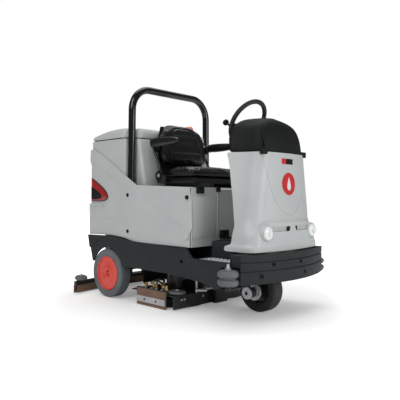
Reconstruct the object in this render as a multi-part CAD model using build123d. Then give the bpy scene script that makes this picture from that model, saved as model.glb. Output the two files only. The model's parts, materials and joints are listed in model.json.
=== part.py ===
from build123d import *
from math import cos, radians, sin
import os

# Ride-on floor scrubber, in millimetres. +Z is up, the front faces -Y, and the
# driver's right hand is on the -X side. The floor is Z = 0, and the origin is
# under the middle of the overall box.

# Overall sizes
overall_length = 1650.0
body_half_width = 410.0
squeegee_half_width = 505.0

front_y = -overall_length / 2
rear_y = overall_length / 2

# Clearances
rest_gap = 0.5
panel_gap = 3.0
running_gap = 0.06
swing_gap = 6.0

# Body stations along Y
bumper_depth = 90.0
bumper_end_y = front_y + bumper_depth
cowl_front_y = front_y + 88.0
drive_y = front_y + 270.0
seat_box_y = front_y + 489.0
seat_box_length = 505.0
tank_front_y = seat_box_y + seat_box_length
body_rear_y = rear_y - 123.0
rear_wheel_y = rear_y - 361.0
hoop_y = tank_front_y + 99.0

# Body heights
skirt_low_z = 231.0
sill_z = 404.0
step_z = 346.0
platform_z = 446.0
deck_front_z = 764.0
deck_rear_z = 780.0
tank_base_z = 560.0
tank_top_z = 1100.0
lid_crown_z = 1186.0

# Panel and plate thicknesses
panel_wall = 8.0
skirt_wall = 12.0
skirt_band = 6.0
tank_wall = 7.0
cowl_wall = 6.0
sheet = 6.0
skirt_half_width = body_half_width + 15.0
tank_half_width = body_half_width - panel_wall - panel_gap

# Rear wheels
rear_wheel_radius = 168.0
rear_wheel_width = 85.0
rear_hub_radius = 118.0
rear_wheel_face_x = skirt_half_width + 2.0
axle_radius = 14.0
arch_gap = 12.0

# Front drive wheel
drive_wheel_radius = 140.0
drive_wheel_width = 90.0
drive_hub_radius = 88.0
fork_gap = 12.0
fork_plate = 12.0
fork_top_z = 300.0
kingpin_radius = 30.0

# Steel frame
rail_half_spacing = body_half_width - 115.0
rail_width = 50.0
rail_low_z = 240.0
rail_high_z = 300.0

# Hoop guard
hoop_tube_radius = 25.0
hoop_tube_wall = 3.0
hoop_top_z = 1445.0
hoop_foot_half = body_half_width - 38.0
hoop_shoulder_half = hoop_foot_half - 11.0
hoop_foot_z = 420.0
hoop_bend_radius = 150.0

# Bumper and corner rollers
bumper_half_width = body_half_width + 5.0
bumper_low_z = 229.0
bumper_high_z = 390.0
bumper_wall = 30.0
corner_roller_radius = 60.0
corner_roller_x = body_half_width + 31.0
corner_roller_y = bumper_end_y + 66.0
stud_radius = 8.0
roller_low_z = 222.0
roller_high_z = 310.0

# Cowl: height, half width, front and rear of each section
cowl_foot_half = body_half_width - 60.0
cowl_brow_half = body_half_width - 108.0
cowl_top_half = body_half_width - 170.0
cowl_rear_half = body_half_width - 110.0
cowl_foot_z = 400.0
cowl_brow_z = 572.0
cowl_top_z = 967.0
cowl_corner = 85.0
cap_top_z = 1190.0

# Steering wheel
wheel_centre_y = front_y + 381.0
wheel_centre_z = 1183.0
wheel_rim_radius = 140.0
wheel_grip_radius = 14.0
column_rise = 33.0
column_radius = 24.0
shaft_radius = 12.0

# Brush deck
brush_gap = 8.0
brush_radius = (body_half_width - 10.0 - brush_gap) / 2
brush_spacing = 2 * brush_radius + brush_gap
brush_plane_z = 40.0
deck_top_z = 86.0
deck_plate_wall = 6.0
deck_half_width = body_half_width + 5.0
deck_y = front_y + 837.0
deck_half_length = 205.0
guard_wall = 12.0
deck_roller_radius = 57.0
brush_motor_radius = 54.0

# Squeegee
squeegee_end_y = rear_y - 85.0
squeegee_crown = 52.0
squeegee_blade_height = 56.0
squeegee_roller_radius = 45.0
squeegee_arm_length = 150.0
squeegee_arm_x = 130.0

# Seat
seat_half_width = 250.0
seat_front_y = seat_box_y + 138.0
seat_depth = 290.0
seat_cushion_low_z = 826.0
seat_cushion_high_z = 910.0
seat_back_high_z = 1230.0
seat_back_lean = 13.0
seat_rail_x = 160.0
armrest_width = 56.0
armrest_length = 285.0
armrest_z = 1068.0


def block(x0, x1, y0, y1, z0, z1):
    """A box between two corners."""
    centre = Pos((x0 + x1) / 2, (y0 + y1) / 2, (z0 + z1) / 2)
    return centre * Box(x1 - x0, y1 - y0, z1 - z0)


def side_profile(points, x0, x1):
    """A side-view outline of (y, z) points, as thick as x0 to x1."""
    outline = make_face(Polyline(*points, close=True))
    return extrude(Plane.YZ.offset(x0) * outline, x1 - x0)


def rod_x(radius, x0, x1, y, z):
    return Pos((x0 + x1) / 2, y, z) * Rot(0, 90, 0) * Cylinder(radius, x1 - x0)


def rod_y(radius, x, y0, y1, z):
    return Pos(x, (y0 + y1) / 2, z) * Rot(90, 0, 0) * Cylinder(radius, y1 - y0)


def rod_z(radius, x, y, z0, z1):
    return Pos(x, y, (z0 + z1) / 2) * Cylinder(radius, z1 - z0)


def mirrored(solid):
    return mirror(solid, about=Plane.YZ)


def save(shape, node):
    export_step(shape, f"parts/{node}.step")


def save_group(shapes, node):
    save(Compound(children=list(shapes)), node)


os.makedirs("parts", exist_ok=True)


# Steel frame: two rails with drop plates for the wheels, cross members, the
# kingpin plate, the uprights of the hoop guard and the runners under the seat
rail_x0 = rail_half_spacing - rail_width / 2
rail_x1 = rail_half_spacing + rail_width / 2
rail_front_y = drive_y - 110.0
rail_rear_y = body_rear_y - 40.0
drop_plate_wall = 12.0
drop_plate_half = 45.0


def seat_runners():
    front, rear = seat_front_y - 90, tank_front_y - 30
    slope = (deck_rear_z - deck_front_z) / (tank_front_y - 8 - seat_box_y + sheet)
    front_z = deck_front_z - 2 + slope * (front - seat_box_y + sheet) + rest_gap
    rear_z = deck_front_z - 2 + slope * (rear - seat_box_y + sheet) + rest_gap
    outline = [(front, front_z), (front, deck_rear_z + 13), (rear, deck_rear_z + 13), (rear, rear_z)]
    runner = side_profile(outline, seat_rail_x - 18, seat_rail_x + 18)
    return [runner, mirrored(runner)]


def main_frame():
    rail = block(rail_x0, rail_x1, rail_front_y, rail_rear_y, rail_low_z, rail_high_z)
    drop_low_z = rear_wheel_radius - drop_plate_half
    drop = block(rail_x1 - drop_plate_wall, rail_x1, rear_wheel_y - drop_plate_half,
                 rear_wheel_y + drop_plate_half, drop_low_z, rail_low_z)
    rail = rail + drop
    rail -= rod_x(axle_radius + running_gap, rail_x0, rail_x1 + 1, rear_wheel_y, rear_wheel_radius)
    members = [rail, mirrored(rail)]
    cross_width = 40.0
    cross_stations = (deck_y - deck_half_length - 60, deck_y + deck_half_length + 30, rail_rear_y - 30)
    for y in cross_stations:
        members.append(block(-rail_x0, rail_x0, y - cross_width / 2, y + cross_width / 2,
                             rail_low_z + 12, rail_high_z))
    kingpin_plate = block(-rail_x0, rail_x0, rail_front_y, drive_y + 110,
                          fork_top_z + swing_gap, fork_top_z + swing_gap + 14)
    kingpin_plate -= rod_z(kingpin_radius + running_gap, 0, drive_y, fork_top_z, fork_top_z + 40)
    members.append(kingpin_plate)
    upright = block(rail_x0, rail_x1, hoop_y - 22, hoop_y + 22, rail_high_z, hoop_foot_z - 30)
    members += [upright, mirrored(upright)]
    foot_reach = hoop_foot_half + hoop_tube_radius
    members.append(block(-foot_reach, foot_reach, hoop_y - 24, hoop_y + 24,
                         hoop_foot_z - 30, hoop_foot_z))
    members += axles() + squeegee_hanger() + corner_studs() + pedal_bar() + seat_runners()
    save_group(members, "main_frame")


# Plastic skirt along each side, with the wheel arch and a raised band
def side_skirt():
    roller_end = corner_roller_y + corner_roller_radius + swing_gap
    front = roller_end - 40
    sill_gap = panel_gap
    outline = [
        (body_rear_y, sill_z + 23 - sill_gap), (body_rear_y - 53, skirt_low_z + 7),
        (rear_wheel_y + 100, skirt_low_z + 7), (rear_wheel_y - 100, skirt_low_z),
        (seat_box_y + 151, skirt_low_z), (seat_box_y - 125, skirt_low_z - 18),
        (roller_end + 40, skirt_low_z - 44), (roller_end, skirt_low_z - 26),
        (roller_end, roller_high_z + swing_gap), (front, roller_high_z + swing_gap), (front, step_z),
        (seat_box_y - 33, step_z), (seat_box_y + 18, sill_z - sill_gap),
        (tank_front_y - 20, sill_z - sill_gap), (tank_front_y + 111, sill_z + 19 - sill_gap),
        (rear_wheel_y - 22, sill_z + 30 - sill_gap),
    ]
    inner_x = skirt_half_width - skirt_band - skirt_wall
    skirt = side_profile(outline, inner_x, skirt_half_width - skirt_band)
    band = [
        (body_rear_y, sill_z + 23 - sill_gap), (body_rear_y - 20, skirt_low_z + 100),
        (rear_wheel_y + 60, sill_z + 14), (seat_box_y + 426, sill_z - 34),
        (seat_box_y + 133, skirt_low_z + 43), (seat_box_y - 125, skirt_low_z - 18),
        (roller_end + 40, skirt_low_z - 44), (roller_end, skirt_low_z - 26),
        (roller_end, roller_high_z + swing_gap), (front, roller_high_z + swing_gap), (front, step_z),
        (seat_box_y - 33, step_z), (seat_box_y + 18, sill_z - sill_gap),
        (tank_front_y - 20, sill_z - sill_gap), (tank_front_y + 111, sill_z + 19 - sill_gap),
        (rear_wheel_y - 22, sill_z + 30 - sill_gap),
    ]
    skirt += side_profile(band, skirt_half_width - skirt_band, skirt_half_width)
    arch_radius = rear_wheel_radius + arch_gap
    skirt -= rod_x(arch_radius, 0, skirt_half_width + 10, rear_wheel_y, rear_wheel_radius)
    drain_hole_radius = 11.0
    skirt -= rod_x(drain_hole_radius, inner_x - 5, skirt_half_width + 5, seat_box_y + 53, 319)
    save(skirt, "skirt_left")
    save(mirrored(skirt), "skirt_right")


# Raised floor under the driver's feet and the two tread plates beside it
platform_half_width = body_half_width - 110.0


def platform():
    floor = block(-platform_half_width, platform_half_width, seat_box_y - 250,
                  seat_box_y - 80, fork_top_z + swing_gap + 20, platform_z)
    floor = fillet(floor.edges().filter_by(Axis.Y).group_by(Axis.Z)[-1], 12)
    save(floor, "foot_platform")
    tread = block(platform_half_width + panel_gap, skirt_half_width - skirt_band - skirt_wall - 1,
                  seat_box_y - 310, seat_box_y - 80, step_z - 6, step_z)
    hole_radius = 7.0
    hole_pitch = 30.0
    tread_middle_x = (platform_half_width + skirt_half_width - skirt_band - skirt_wall) / 2
    for row in (-1, 1):
        for step in range(6):
            y = seat_box_y - 280 + step * hole_pitch
            tread -= rod_z(hole_radius, tread_middle_x + row * 22, y, step_z - 20, step_z + 10)
    save_group([tread, mirrored(tread)], "step_plates")


# Moulded side panels, the rear panel and the seat box
def body_panels():
    outline = [
        (seat_box_y, sill_z), (tank_front_y - 20, sill_z), (tank_front_y + 111, sill_z + 19),
        (rear_wheel_y - 22, sill_z + 30), (body_rear_y, sill_z + 23), (body_rear_y, 632),
        (body_rear_y - 24, 645), (body_rear_y - 24, 933), (body_rear_y - 6, 964),
        (body_rear_y - 10, 1036), (body_rear_y - 48, 1040), (tank_front_y + 182, 882),
        (tank_front_y - 1, deck_rear_z), (seat_box_y + 7, deck_front_z),
        (seat_box_y - 18, 523), (seat_box_y, 498),
    ]
    inner_x = body_half_width - panel_wall
    panel = side_profile(outline, inner_x, body_half_width)
    boss_radius = 12.0
    boss_places = [(tank_front_y + 85, 714), (tank_front_y + 83, 471),
                   (seat_box_y + 24, 703), (seat_box_y + 22, 473)]
    bolts = []
    for y, z in boss_places:
        panel -= rod_x(boss_radius + rest_gap, inner_x - 1, body_half_width + 1, y, z)
        bolts.append(rod_x(boss_radius, inner_x, body_half_width + 4, y, z))
    save(panel, "side_panel_left")
    save(mirrored(panel), "side_panel_right")
    save_group(bolts + [mirrored(bolt) for bolt in bolts], "panel_fasteners")

    rear = block(-inner_x + panel_gap, inner_x - panel_gap, body_rear_y - 32, body_rear_y - 26,
                 sill_z + 26, tank_base_z - panel_gap)
    save(rear, "rear_panel")

    front = block(-inner_x + panel_gap, inner_x - panel_gap, seat_box_y - sheet, seat_box_y,
                  sill_z, deck_front_z - sheet - 4)
    recess_half = 155.0
    front -= block(-recess_half, recess_half, seat_box_y - sheet - 1, seat_box_y - sheet / 2,
                   sill_z - 1, deck_front_z)
    save(front, "seat_box_front")
    deck_outline = [(seat_box_y - sheet, deck_front_z - sheet - 2), (seat_box_y - sheet, deck_front_z - 2),
                    (tank_front_y - 8, deck_rear_z - 2), (tank_front_y - 8, deck_rear_z - sheet - 2)]
    deck = side_profile(deck_outline, -inner_x + panel_gap, inner_x - panel_gap)
    save(deck, "seat_deck")


# Traction batteries, solution tank and suction motor inside the body
def inner_units():
    batteries = []
    battery_length, battery_width, battery_height = 225.0, 180.0, 275.0
    for x in (-1, 1):
        for y in (0, 1):
            corner_x = x * (battery_width / 2 + 8)
            corner_y = seat_box_y + 15 + y * (battery_length + 6)
            batteries.append(block(corner_x - battery_width / 2, corner_x + battery_width / 2, corner_y,
                                   corner_y + battery_length, rail_high_z + 12,
                                   rail_high_z + 12 + battery_height))
    save_group(batteries, "batteries")
    half = rail_x1
    outer = block(-half, half, hoop_y + 30, body_rear_y - 50, rail_high_z + 4, tank_base_z - 6)
    outer = fillet(outer.edges().filter_by(Axis.Z), 30)
    half -= tank_wall
    hollow = block(-half, half, hoop_y + 37, body_rear_y - 57, rail_high_z + 11, tank_base_z - 13)
    save(outer - hollow, "solution_tank")
    motor = rod_z(75, 0, seat_box_y + 240, 600, 740) + rod_z(50, 0, seat_box_y + 240, 740, 752)
    save(motor, "suction_motor")


# Recovery tank: its front wall leans back, and its front corners are cut away
# round the legs of the hoop guard
hoop_notch_half = hoop_shoulder_half - hoop_tube_radius - 4
hoop_notch_y = hoop_y + hoop_tube_radius + 6
tank_rear_y = body_rear_y - 10
tank_lean = 67.0


def tank_body(inset, low_z, high_z):
    front = tank_front_y + inset
    lean = tank_lean * (high_z - deck_rear_z) / (tank_top_z - deck_rear_z)
    outline = [(front, low_z), (front, deck_rear_z), (front + lean, high_z),
               (tank_rear_y - inset, high_z), (tank_rear_y - inset, low_z)]
    core = side_profile(outline, -hoop_notch_half + inset, hoop_notch_half - inset)
    rear_half = tank_half_width - inset
    rear = block(-rear_half, rear_half, hoop_notch_y + inset, tank_rear_y - inset, low_z, high_z)
    rear = fillet(rear.edges().filter_by(Axis.Z), 30 - inset)
    return core + rear


def recovery_tank():
    tank = tank_body(0, tank_base_z, tank_top_z) - tank_body(tank_wall, tank_base_z + tank_wall,
                                                             tank_top_z + 20)
    for x in lid_knuckle_x:
        tank += rod_x(hinge_radius, x - 14, x + 14, lid_rear_y, lid_low_z)
        tank += block(x - 14, x + 14, tank_rear_y - 1, lid_rear_y + 2, lid_low_z - 40, lid_low_z)
    save(tank, "recovery_tank")


# Tank lid, hinged along its rear edge, and the warning beacon on it
lid_low_z = tank_top_z + 6
lid_rear_y = body_rear_y - 4
hinge_radius = 5.0
lid_knuckle_x = (-240, 240)
lid_front_y = tank_front_y + tank_lean
beacon_x = tank_half_width - 124.0
beacon_y = tank_front_y + 195.0
beacon_radius = 33.0


def tank_lid():
    side_outline = [
        (lid_front_y - 2, lid_low_z), (lid_front_y + 4, lid_low_z + 58), (lid_front_y + 60, lid_crown_z),
        (lid_rear_y - 190, lid_crown_z - 6), (lid_rear_y - 55, lid_crown_z - 34),
        (lid_rear_y - 6, lid_low_z + 24), (lid_rear_y, lid_low_z),
    ]
    lid = side_profile(side_outline, -tank_half_width, tank_half_width)
    crown = [(-tank_half_width, lid_low_z), (-tank_half_width, lid_low_z + 40),
             (-tank_half_width + 45, lid_crown_z - 14), (-150, lid_crown_z), (150, lid_crown_z),
             (tank_half_width - 45, lid_crown_z - 14), (tank_half_width, lid_low_z + 40),
             (tank_half_width, lid_low_z)]
    end_face = make_face(Polyline(*crown, close=True))
    arch = extrude(Plane.XZ.offset(-lid_rear_y - 10) * end_face, lid_rear_y - lid_front_y + 30)
    lid = lid & arch
    for side in (-1, 1):
        x0, x1 = sorted((side * hoop_notch_half, side * (tank_half_width + 5)))
        lid -= block(x0, x1, lid_front_y - 20, hoop_notch_y, lid_low_z - 5, lid_crown_z + 20)
    hollow = block(-hoop_notch_half + 30, hoop_notch_half - 30, lid_front_y + 40, lid_rear_y - 80,
                   lid_low_z - 1, lid_low_z + 40)
    lid -= hollow
    for x in lid_knuckle_x:
        lid -= rod_x(hinge_radius + 1, x - 15, x + 15, lid_rear_y, lid_low_z)
        lid -= block(x - 15, x + 15, lid_rear_y - 7, lid_rear_y + 2, lid_low_z - 2, lid_low_z + 1)
        for side in (-1, 1):
            lid += rod_x(hinge_radius, x + side * 30 - 14, x + side * 30 + 14, lid_rear_y, lid_low_z)
    save(lid, "tank_lid")
    base_z = lid_crown_z - 16
    base = rod_z(beacon_radius + 6, beacon_x, beacon_y, base_z - 10, base_z + 14)
    save(base - lid, "beacon_base")
    lens = rod_z(beacon_radius, beacon_x, beacon_y, base_z + 14, base_z + 80)
    lens = fillet(lens.edges().group_by(Axis.Z)[-1], 16)
    save(lens, "beacon_lens")


# Hoop guard: a bent tube that stands on the frame's uprights
def hoop_guard():
    path = FilletPolyline(
        (-hoop_foot_half, hoop_y, hoop_foot_z + 2), (-hoop_shoulder_half, hoop_y, hoop_top_z),
        (hoop_shoulder_half, hoop_y, hoop_top_z), (hoop_foot_half, hoop_y, hoop_foot_z + 2),
        radius=hoop_bend_radius)
    start = Plane(origin=path @ 0, z_dir=path % 0)
    ring = start * (Circle(hoop_tube_radius) - Circle(hoop_tube_radius - hoop_tube_wall))
    save(sweep(ring, path), "hoop_guard")


# Rear lamps on the panels' rear corners
def rear_lamps():
    face_x = body_half_width + rest_gap
    outline = [(body_rear_y - 28, 837), (body_rear_y - 115, 790), (body_rear_y - 190, 740),
               (body_rear_y - 228, 700), (body_rear_y - 222, 668), (body_rear_y - 28, 665)]
    lamp = side_profile(outline, face_x, face_x + 6)
    save_group([lamp, mirrored(lamp)], "rear_lamps")



# Front cowl: a shell open to the driver, wider at its foot
def cowl_section(z, half, rear_half, front, rear, corner, bulge):
    left_end = (-half, front + corner)
    right_end = (half, front + corner)
    inset = corner * (1 - cos(radians(45)))
    outline = Curve() + [
        Line((-rear_half, rear), left_end),
        ThreePointArc(left_end, (-half + inset, front + inset), (-half + corner, front)),
        ThreePointArc((-half + corner, front), (0, front - bulge), (half - corner, front)),
        ThreePointArc((half - corner, front), (half - inset, front + inset), right_end),
        Line(right_end, (rear_half, rear)),
        Line((rear_half, rear), (-rear_half, rear)),
    ]
    return Pos(0, 0, z) * make_face(outline)


def cowl_solid(wall, sections):
    faces = []
    for z, half, rear_half, front, rear in sections:
        reach = 0 if wall == 0 else 60
        spread = (rear_half - half) / (rear - front - cowl_corner)
        faces.append(cowl_section(z, half - wall, rear_half - wall + reach * spread, front + wall,
                                  rear + reach, cowl_corner - wall, 14))
    return loft(faces, ruled=True)


cowl_rear_top_y = cowl_front_y + 212
cowl_stations = [
    (cowl_foot_z, cowl_foot_half, cowl_foot_half, cowl_front_y - 30, cowl_front_y + 186),
    (cowl_foot_z + 28, cowl_foot_half, cowl_foot_half, cowl_front_y - 30, cowl_front_y + 186),
    (cowl_foot_z + 40, cowl_foot_half - 16, cowl_foot_half - 14, cowl_front_y - 30, cowl_front_y + 150),
    (cowl_brow_z - 20, cowl_brow_half + 18, cowl_brow_half + 20, cowl_front_y - 18, cowl_front_y + 138),
    (cowl_brow_z + 10, cowl_brow_half, cowl_brow_half + 8, cowl_front_y, cowl_front_y + 140),
    (703, cowl_brow_half - 20, cowl_rear_half + 5, cowl_front_y, cowl_front_y + 156),
    (894, cowl_top_half + 18, cowl_rear_half + 2, cowl_front_y, cowl_front_y + 189),
    (cowl_top_z, cowl_top_half, cowl_rear_half, cowl_front_y, cowl_rear_top_y),
]


def front_cowl():
    shell = cowl_solid(0, cowl_stations)
    ends = [(cowl_stations[0][0] - 1,) + cowl_stations[0][1:],
            (cowl_top_z + 1,) + cowl_stations[-1][1:]]
    hollow = cowl_solid(cowl_wall, ends[:1] + cowl_stations[1:-1] + ends[1:])
    cowl = shell - hollow
    for x in (-lamp_x, lamp_x):
        cowl -= rod_y(lamp_radius - 6, x, cowl_front_y - 60, cowl_front_y + 40, lamp_z)
    save(cowl, "front_cowl")


lamp_x = cowl_foot_half - 123.0
lamp_z = 505.0
lamp_radius = 40.0


def head_lamps():
    lamp_front_y = cowl_front_y - 42
    body = rod_y(lamp_radius, lamp_x, lamp_front_y, lamp_front_y + 16, lamp_z)
    body = fillet(body.edges().group_by(Axis.Y)[0], 10)
    body += rod_y(lamp_radius - 8, lamp_x, lamp_front_y + 10, lamp_front_y + 60, lamp_z)
    lens = body - cowl_solid(0, cowl_stations) + (body & rod_y(
        lamp_radius - 8, lamp_x, lamp_front_y + 10, lamp_front_y + 60, lamp_z))
    save_group([lens, mirrored(lens)], "head_lamps")


# Dash cap over the cowl and the console inside it
def cap_solid(wall):
    stations = [
        (cowl_top_z + 2, cowl_top_half - 18, cowl_rear_half - 22, cowl_front_y + 8, cowl_rear_top_y - 2),
        (cowl_top_z + 113, cowl_top_half - 35, cowl_rear_half - 40, cowl_front_y + 22, cowl_rear_top_y + 20),
        (cowl_top_z + 183, 160, 200, cowl_front_y + 50, cowl_rear_top_y - 2),
        (cap_top_z, 90, 120, cowl_front_y + 95, cowl_rear_top_y - 4),
    ]
    faces = []
    for z, half, rear_half, front, rear in stations:
        reach = 0 if wall == 0 else 30
        spread = (rear_half - half) / (rear - front - 60)
        lower = wall if z > cowl_top_z + 150 else (0 if z > cowl_top_z + 10 else 3 * (wall > 0))
        faces.append(cowl_section(z - lower, half - wall, rear_half - wall + reach * spread,
                                  front + wall, rear + reach, 60, 10))
    return loft(faces, ruled=True)


switch_x = 140.0
console_face = Plane(origin=(0, cowl_rear_top_y - 22, cowl_top_z + 100), x_dir=(1, 0, 0), z_dir=(0, 1, 0.14))


def dash_cap():
    cap = cap_solid(0) - cap_solid(5.0)
    save(cap, "dash_cap")
    console = cap_solid(8.0) & side_profile([
        (cowl_front_y + 60, cowl_top_z - 10), (cowl_rear_top_y - 10, cowl_top_z - 10),
        (cowl_rear_top_y - 34, cap_top_z), (cowl_front_y + 60, cap_top_z)], -cowl_rear_half, cowl_rear_half)
    console -= column_rod(column_radius + rest_gap, -400, 100)
    console -= console_face * Pos(-switch_x, 0, 0) * Cylinder(10 + rest_gap, 60)
    console -= console_face * Pos(switch_x, 0, 0) * Cylinder(9 + rest_gap, 60)
    save(console, "dashboard")


# Steering column: its axis rises towards the driver
column_frame = Plane(origin=(0, wheel_centre_y, wheel_centre_z), x_dir=(1, 0, 0),
                     z_dir=(0, cos(radians(column_rise)), sin(radians(column_rise))))


def column_rod(radius, low, high):
    """A rod on the column's axis, measured from the wheel's centre."""
    return column_frame * Pos(0, 0, (low + high) / 2) * Cylinder(radius, high - low)


hub_depth = 45.0
column_length = 262.0


def steering():
    tube = column_rod(column_radius, -column_length, -hub_depth - 28)
    tube -= column_rod(shaft_radius + running_gap, -400, 0)
    save(tube, "column_tube")
    shaft = column_rod(shaft_radius, 5 - column_length, -hub_depth - 12)
    rim = Rot(0, 0, 45) * Torus(wheel_rim_radius, wheel_grip_radius)
    hub = Pos(0, 0, -hub_depth) * Cylinder(34, 24)
    hub = fillet(hub.edges().group_by(Axis.Z)[-1], 8)
    wheel = rim + hub
    spoke_angles = (15, 90, 165)
    for angle in spoke_angles:
        inner = Vector(26, 0, -hub_depth)
        outer = Vector(wheel_rim_radius - 3, 0, -2)
        along = outer - inner
        spoke = Plane(origin=inner, z_dir=along) * Pos(0, 0, along.length / 2) * Cylinder(8, along.length)
        wheel += Rot(0, 0, angle) * spoke
    save(column_frame * wheel + shaft, "steering_wheel")
    knob_angle = 160.0
    knob = Cylinder(7, 26) + Pos(0, 0, 26) * Cylinder(19, 30)
    knob = fillet(knob.edges().group_by(Axis.Z)[-1], 10)
    reach = wheel_rim_radius
    place = Pos(reach * cos(radians(knob_angle)), reach * sin(radians(knob_angle)), wheel_grip_radius + 14)
    save(column_frame * place * knob, "spinner_knob")


# Ribbed bumper round the nose
def bumper_section(half, front, rear, bulge, z):
    outline = Curve() + [
        Line((-half, rear), (-half, front)),
        ThreePointArc((-half, front), (0, front - bulge), (half, front)),
        Line((half, front), (half, rear)),
        Line((half, rear), (-half, rear)),
    ]
    return Pos(0, 0, z) * make_face(outline)


def bumper():
    height = bumper_high_z - bumper_low_z
    bulge = bumper_depth
    outer = extrude(bumper_section(bumper_half_width, bumper_end_y, bumper_end_y + 4, bulge,
                                   bumper_low_z), height)
    inner = extrude(bumper_section(bumper_half_width - bumper_wall, bumper_end_y, bumper_end_y + 5,
                                   bulge - bumper_wall, bumper_low_z - 1), height + 2)
    body = outer - inner
    groove_depth = 5.0
    groove_height = 6.0
    for z in (301.0, 351.0):
        wide = extrude(bumper_section(bumper_half_width + 1, bumper_end_y, bumper_end_y + 5, bulge,
                                      z - groove_height / 2), groove_height)
        core = extrude(bumper_section(bumper_half_width - groove_depth, bumper_end_y + groove_depth,
                                      bumper_end_y + 9, bulge - 2, z - groove_height), 2 * groove_height)
        body -= wide - core
    # a shelf under the cowl, and a block over each corner roller
    body += extrude(bumper_section(bumper_half_width - 4, bumper_end_y, bumper_end_y + 30, bulge - 4,
                                   bumper_high_z - 12), 12)
    block_x0, block_x1 = bumper_half_width - 115, bumper_half_width - 10
    corner = block(block_x0, block_x1, bumper_end_y - 1, corner_roller_y + 19, roller_high_z + 12,
                   bumper_high_z)
    body += corner + mirrored(corner)
    for x, z in bumper_hole_places:
        body -= rod_y(bumper_hole_radius, x, front_y - 10, bumper_end_y + 45, z)
    save(body, "bumper")


bumper_hole_radius = 8.0
bumper_hole_places = [(-207, 334), (81, 267), (-289, 272), (32, 334)]


# Corner rollers turn on studs that a bracket holds under the skirt
def corner_rollers():
    low_z, high_z = roller_low_z, roller_high_z
    middle_z = (low_z + high_z) / 2
    roller = rod_z(corner_roller_radius, 0, 0, low_z, high_z)
    roller = fillet(roller.edges().group_by(Axis.Z)[0] + roller.edges().group_by(Axis.Z)[-1], 14)
    groove = rod_z(corner_roller_radius + 1, 0, 0, middle_z - 5, middle_z + 5)
    groove -= rod_z(corner_roller_radius - 16, 0, 0, middle_z - 6, middle_z + 6)
    roller -= groove
    roller -= rod_z(stud_radius + running_gap, 0, 0, low_z - 1, high_z + 1)
    place = Pos(corner_roller_x, corner_roller_y, 0)
    save(place * roller, "front_roller_left")
    save(mirrored(place * roller), "front_roller_right")


def corner_studs():
    place = Pos(corner_roller_x, corner_roller_y, 0)
    stud = rod_z(stud_radius, 0, 0, roller_low_z - 14, roller_high_z + 30)
    stud += rod_z(15, 0, 0, roller_low_z - 14, roller_low_z - 2)
    stud += rod_z(13, 0, 0, roller_high_z + 2, roller_high_z + 12)
    stud += block(rail_x1 - corner_roller_x, 16, -16, 16, roller_low_z - 22, roller_low_z - 14)
    stud += block(rail_x1 - corner_roller_x, rail_x1 + 8 - corner_roller_x, -16, 60, roller_low_z - 22,
                  rail_high_z)
    stud = place * stud
    return [stud, mirrored(stud)]


# Drive unit: fork, motor, hub wheel and tyre turn about the kingpin
def drive_unit():
    half = drive_wheel_width / 2
    cheek_x = half + fork_gap
    crown = block(-cheek_x - fork_plate, cheek_x + fork_plate, drive_y - 45, drive_y + 45,
                  fork_top_z - 16, fork_top_z)
    fork = crown
    for side in (-1, 1):
        x0, x1 = sorted((side * cheek_x, side * (cheek_x + fork_plate)))
        fork += block(x0, x1, drive_y - 40, drive_y + 40, drive_wheel_radius - 50, fork_top_z)
    fork += rod_z(kingpin_radius, 0, drive_y, fork_top_z - 1, fork_top_z + 22)
    fork += rod_x(axle_radius, -cheek_x, cheek_x, drive_y, drive_wheel_radius)
    save(fork, "steering_fork")
    motor_x = -cheek_x - fork_plate
    motor = rod_x(60, motor_x - 12, motor_x - rest_gap, drive_y, drive_wheel_radius - 10)
    motor += rod_x(30, motor_x - 90, motor_x - 12, drive_y - 10, drive_wheel_radius - 10)
    flange_bolts = 8
    for step in range(flange_bolts):
        angle = radians(step * 360 / flange_bolts + 20)
        y = drive_y + 48 * cos(angle)
        z = drive_wheel_radius - 10 + 48 * sin(angle)
        motor -= rod_x(5, motor_x - 13, motor_x + 1, y, z)
    save(motor, "drive_motor")
    hub = rod_x(drive_hub_radius, -half + 6, half - 6, drive_y, drive_wheel_radius)
    hub -= rod_x(axle_radius + running_gap, -half, half, drive_y, drive_wheel_radius)
    for side in (-1, 1):
        x0, x1 = sorted((side * (half - 18), side * half))
        dish = rod_x(drive_hub_radius - 12, x0, x1, drive_y, drive_wheel_radius)
        hub -= dish - rod_x(34, x0, x1, drive_y, drive_wheel_radius)
    save(hub, "drive_hub")
    save(tyre(drive_wheel_radius, drive_hub_radius, -half, half, drive_y), "drive_tyre")


def tyre(radius, bore, x0, x1, y):
    body = rod_x(radius, x0, x1, y, radius)
    rims = body.edges().group_by(Axis.X)
    body = fillet(rims[0] + rims[-1], 12)
    return body - rod_x(bore, x0 - 1, x1 + 1, y, radius)


def rear_wheels():
    outer_x = rear_wheel_face_x
    inner_x = outer_x - rear_wheel_width
    y, z = rear_wheel_y, rear_wheel_radius
    ring = tyre(rear_wheel_radius, rear_hub_radius, inner_x, outer_x, y)
    hub = rod_x(rear_hub_radius, inner_x + 10, outer_x - 8, y, z)
    hub -= rod_x(rear_hub_radius - 12, outer_x - 20, outer_x, y, z) - rod_x(30, outer_x - 20, outer_x, y, z)
    hub -= rod_x(axle_radius + running_gap, inner_x, outer_x - 24, y, z)
    save(ring, "rear_tyre_left")
    save(mirrored(ring), "rear_tyre_right")
    save(hub, "rear_hub_left")
    save(mirrored(hub), "rear_hub_right")


def axles():
    axle = rod_x(axle_radius, rail_x0 - 4, rear_wheel_face_x - 28, rear_wheel_y, rear_wheel_radius)
    return [axle, mirrored(axle)]


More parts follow.
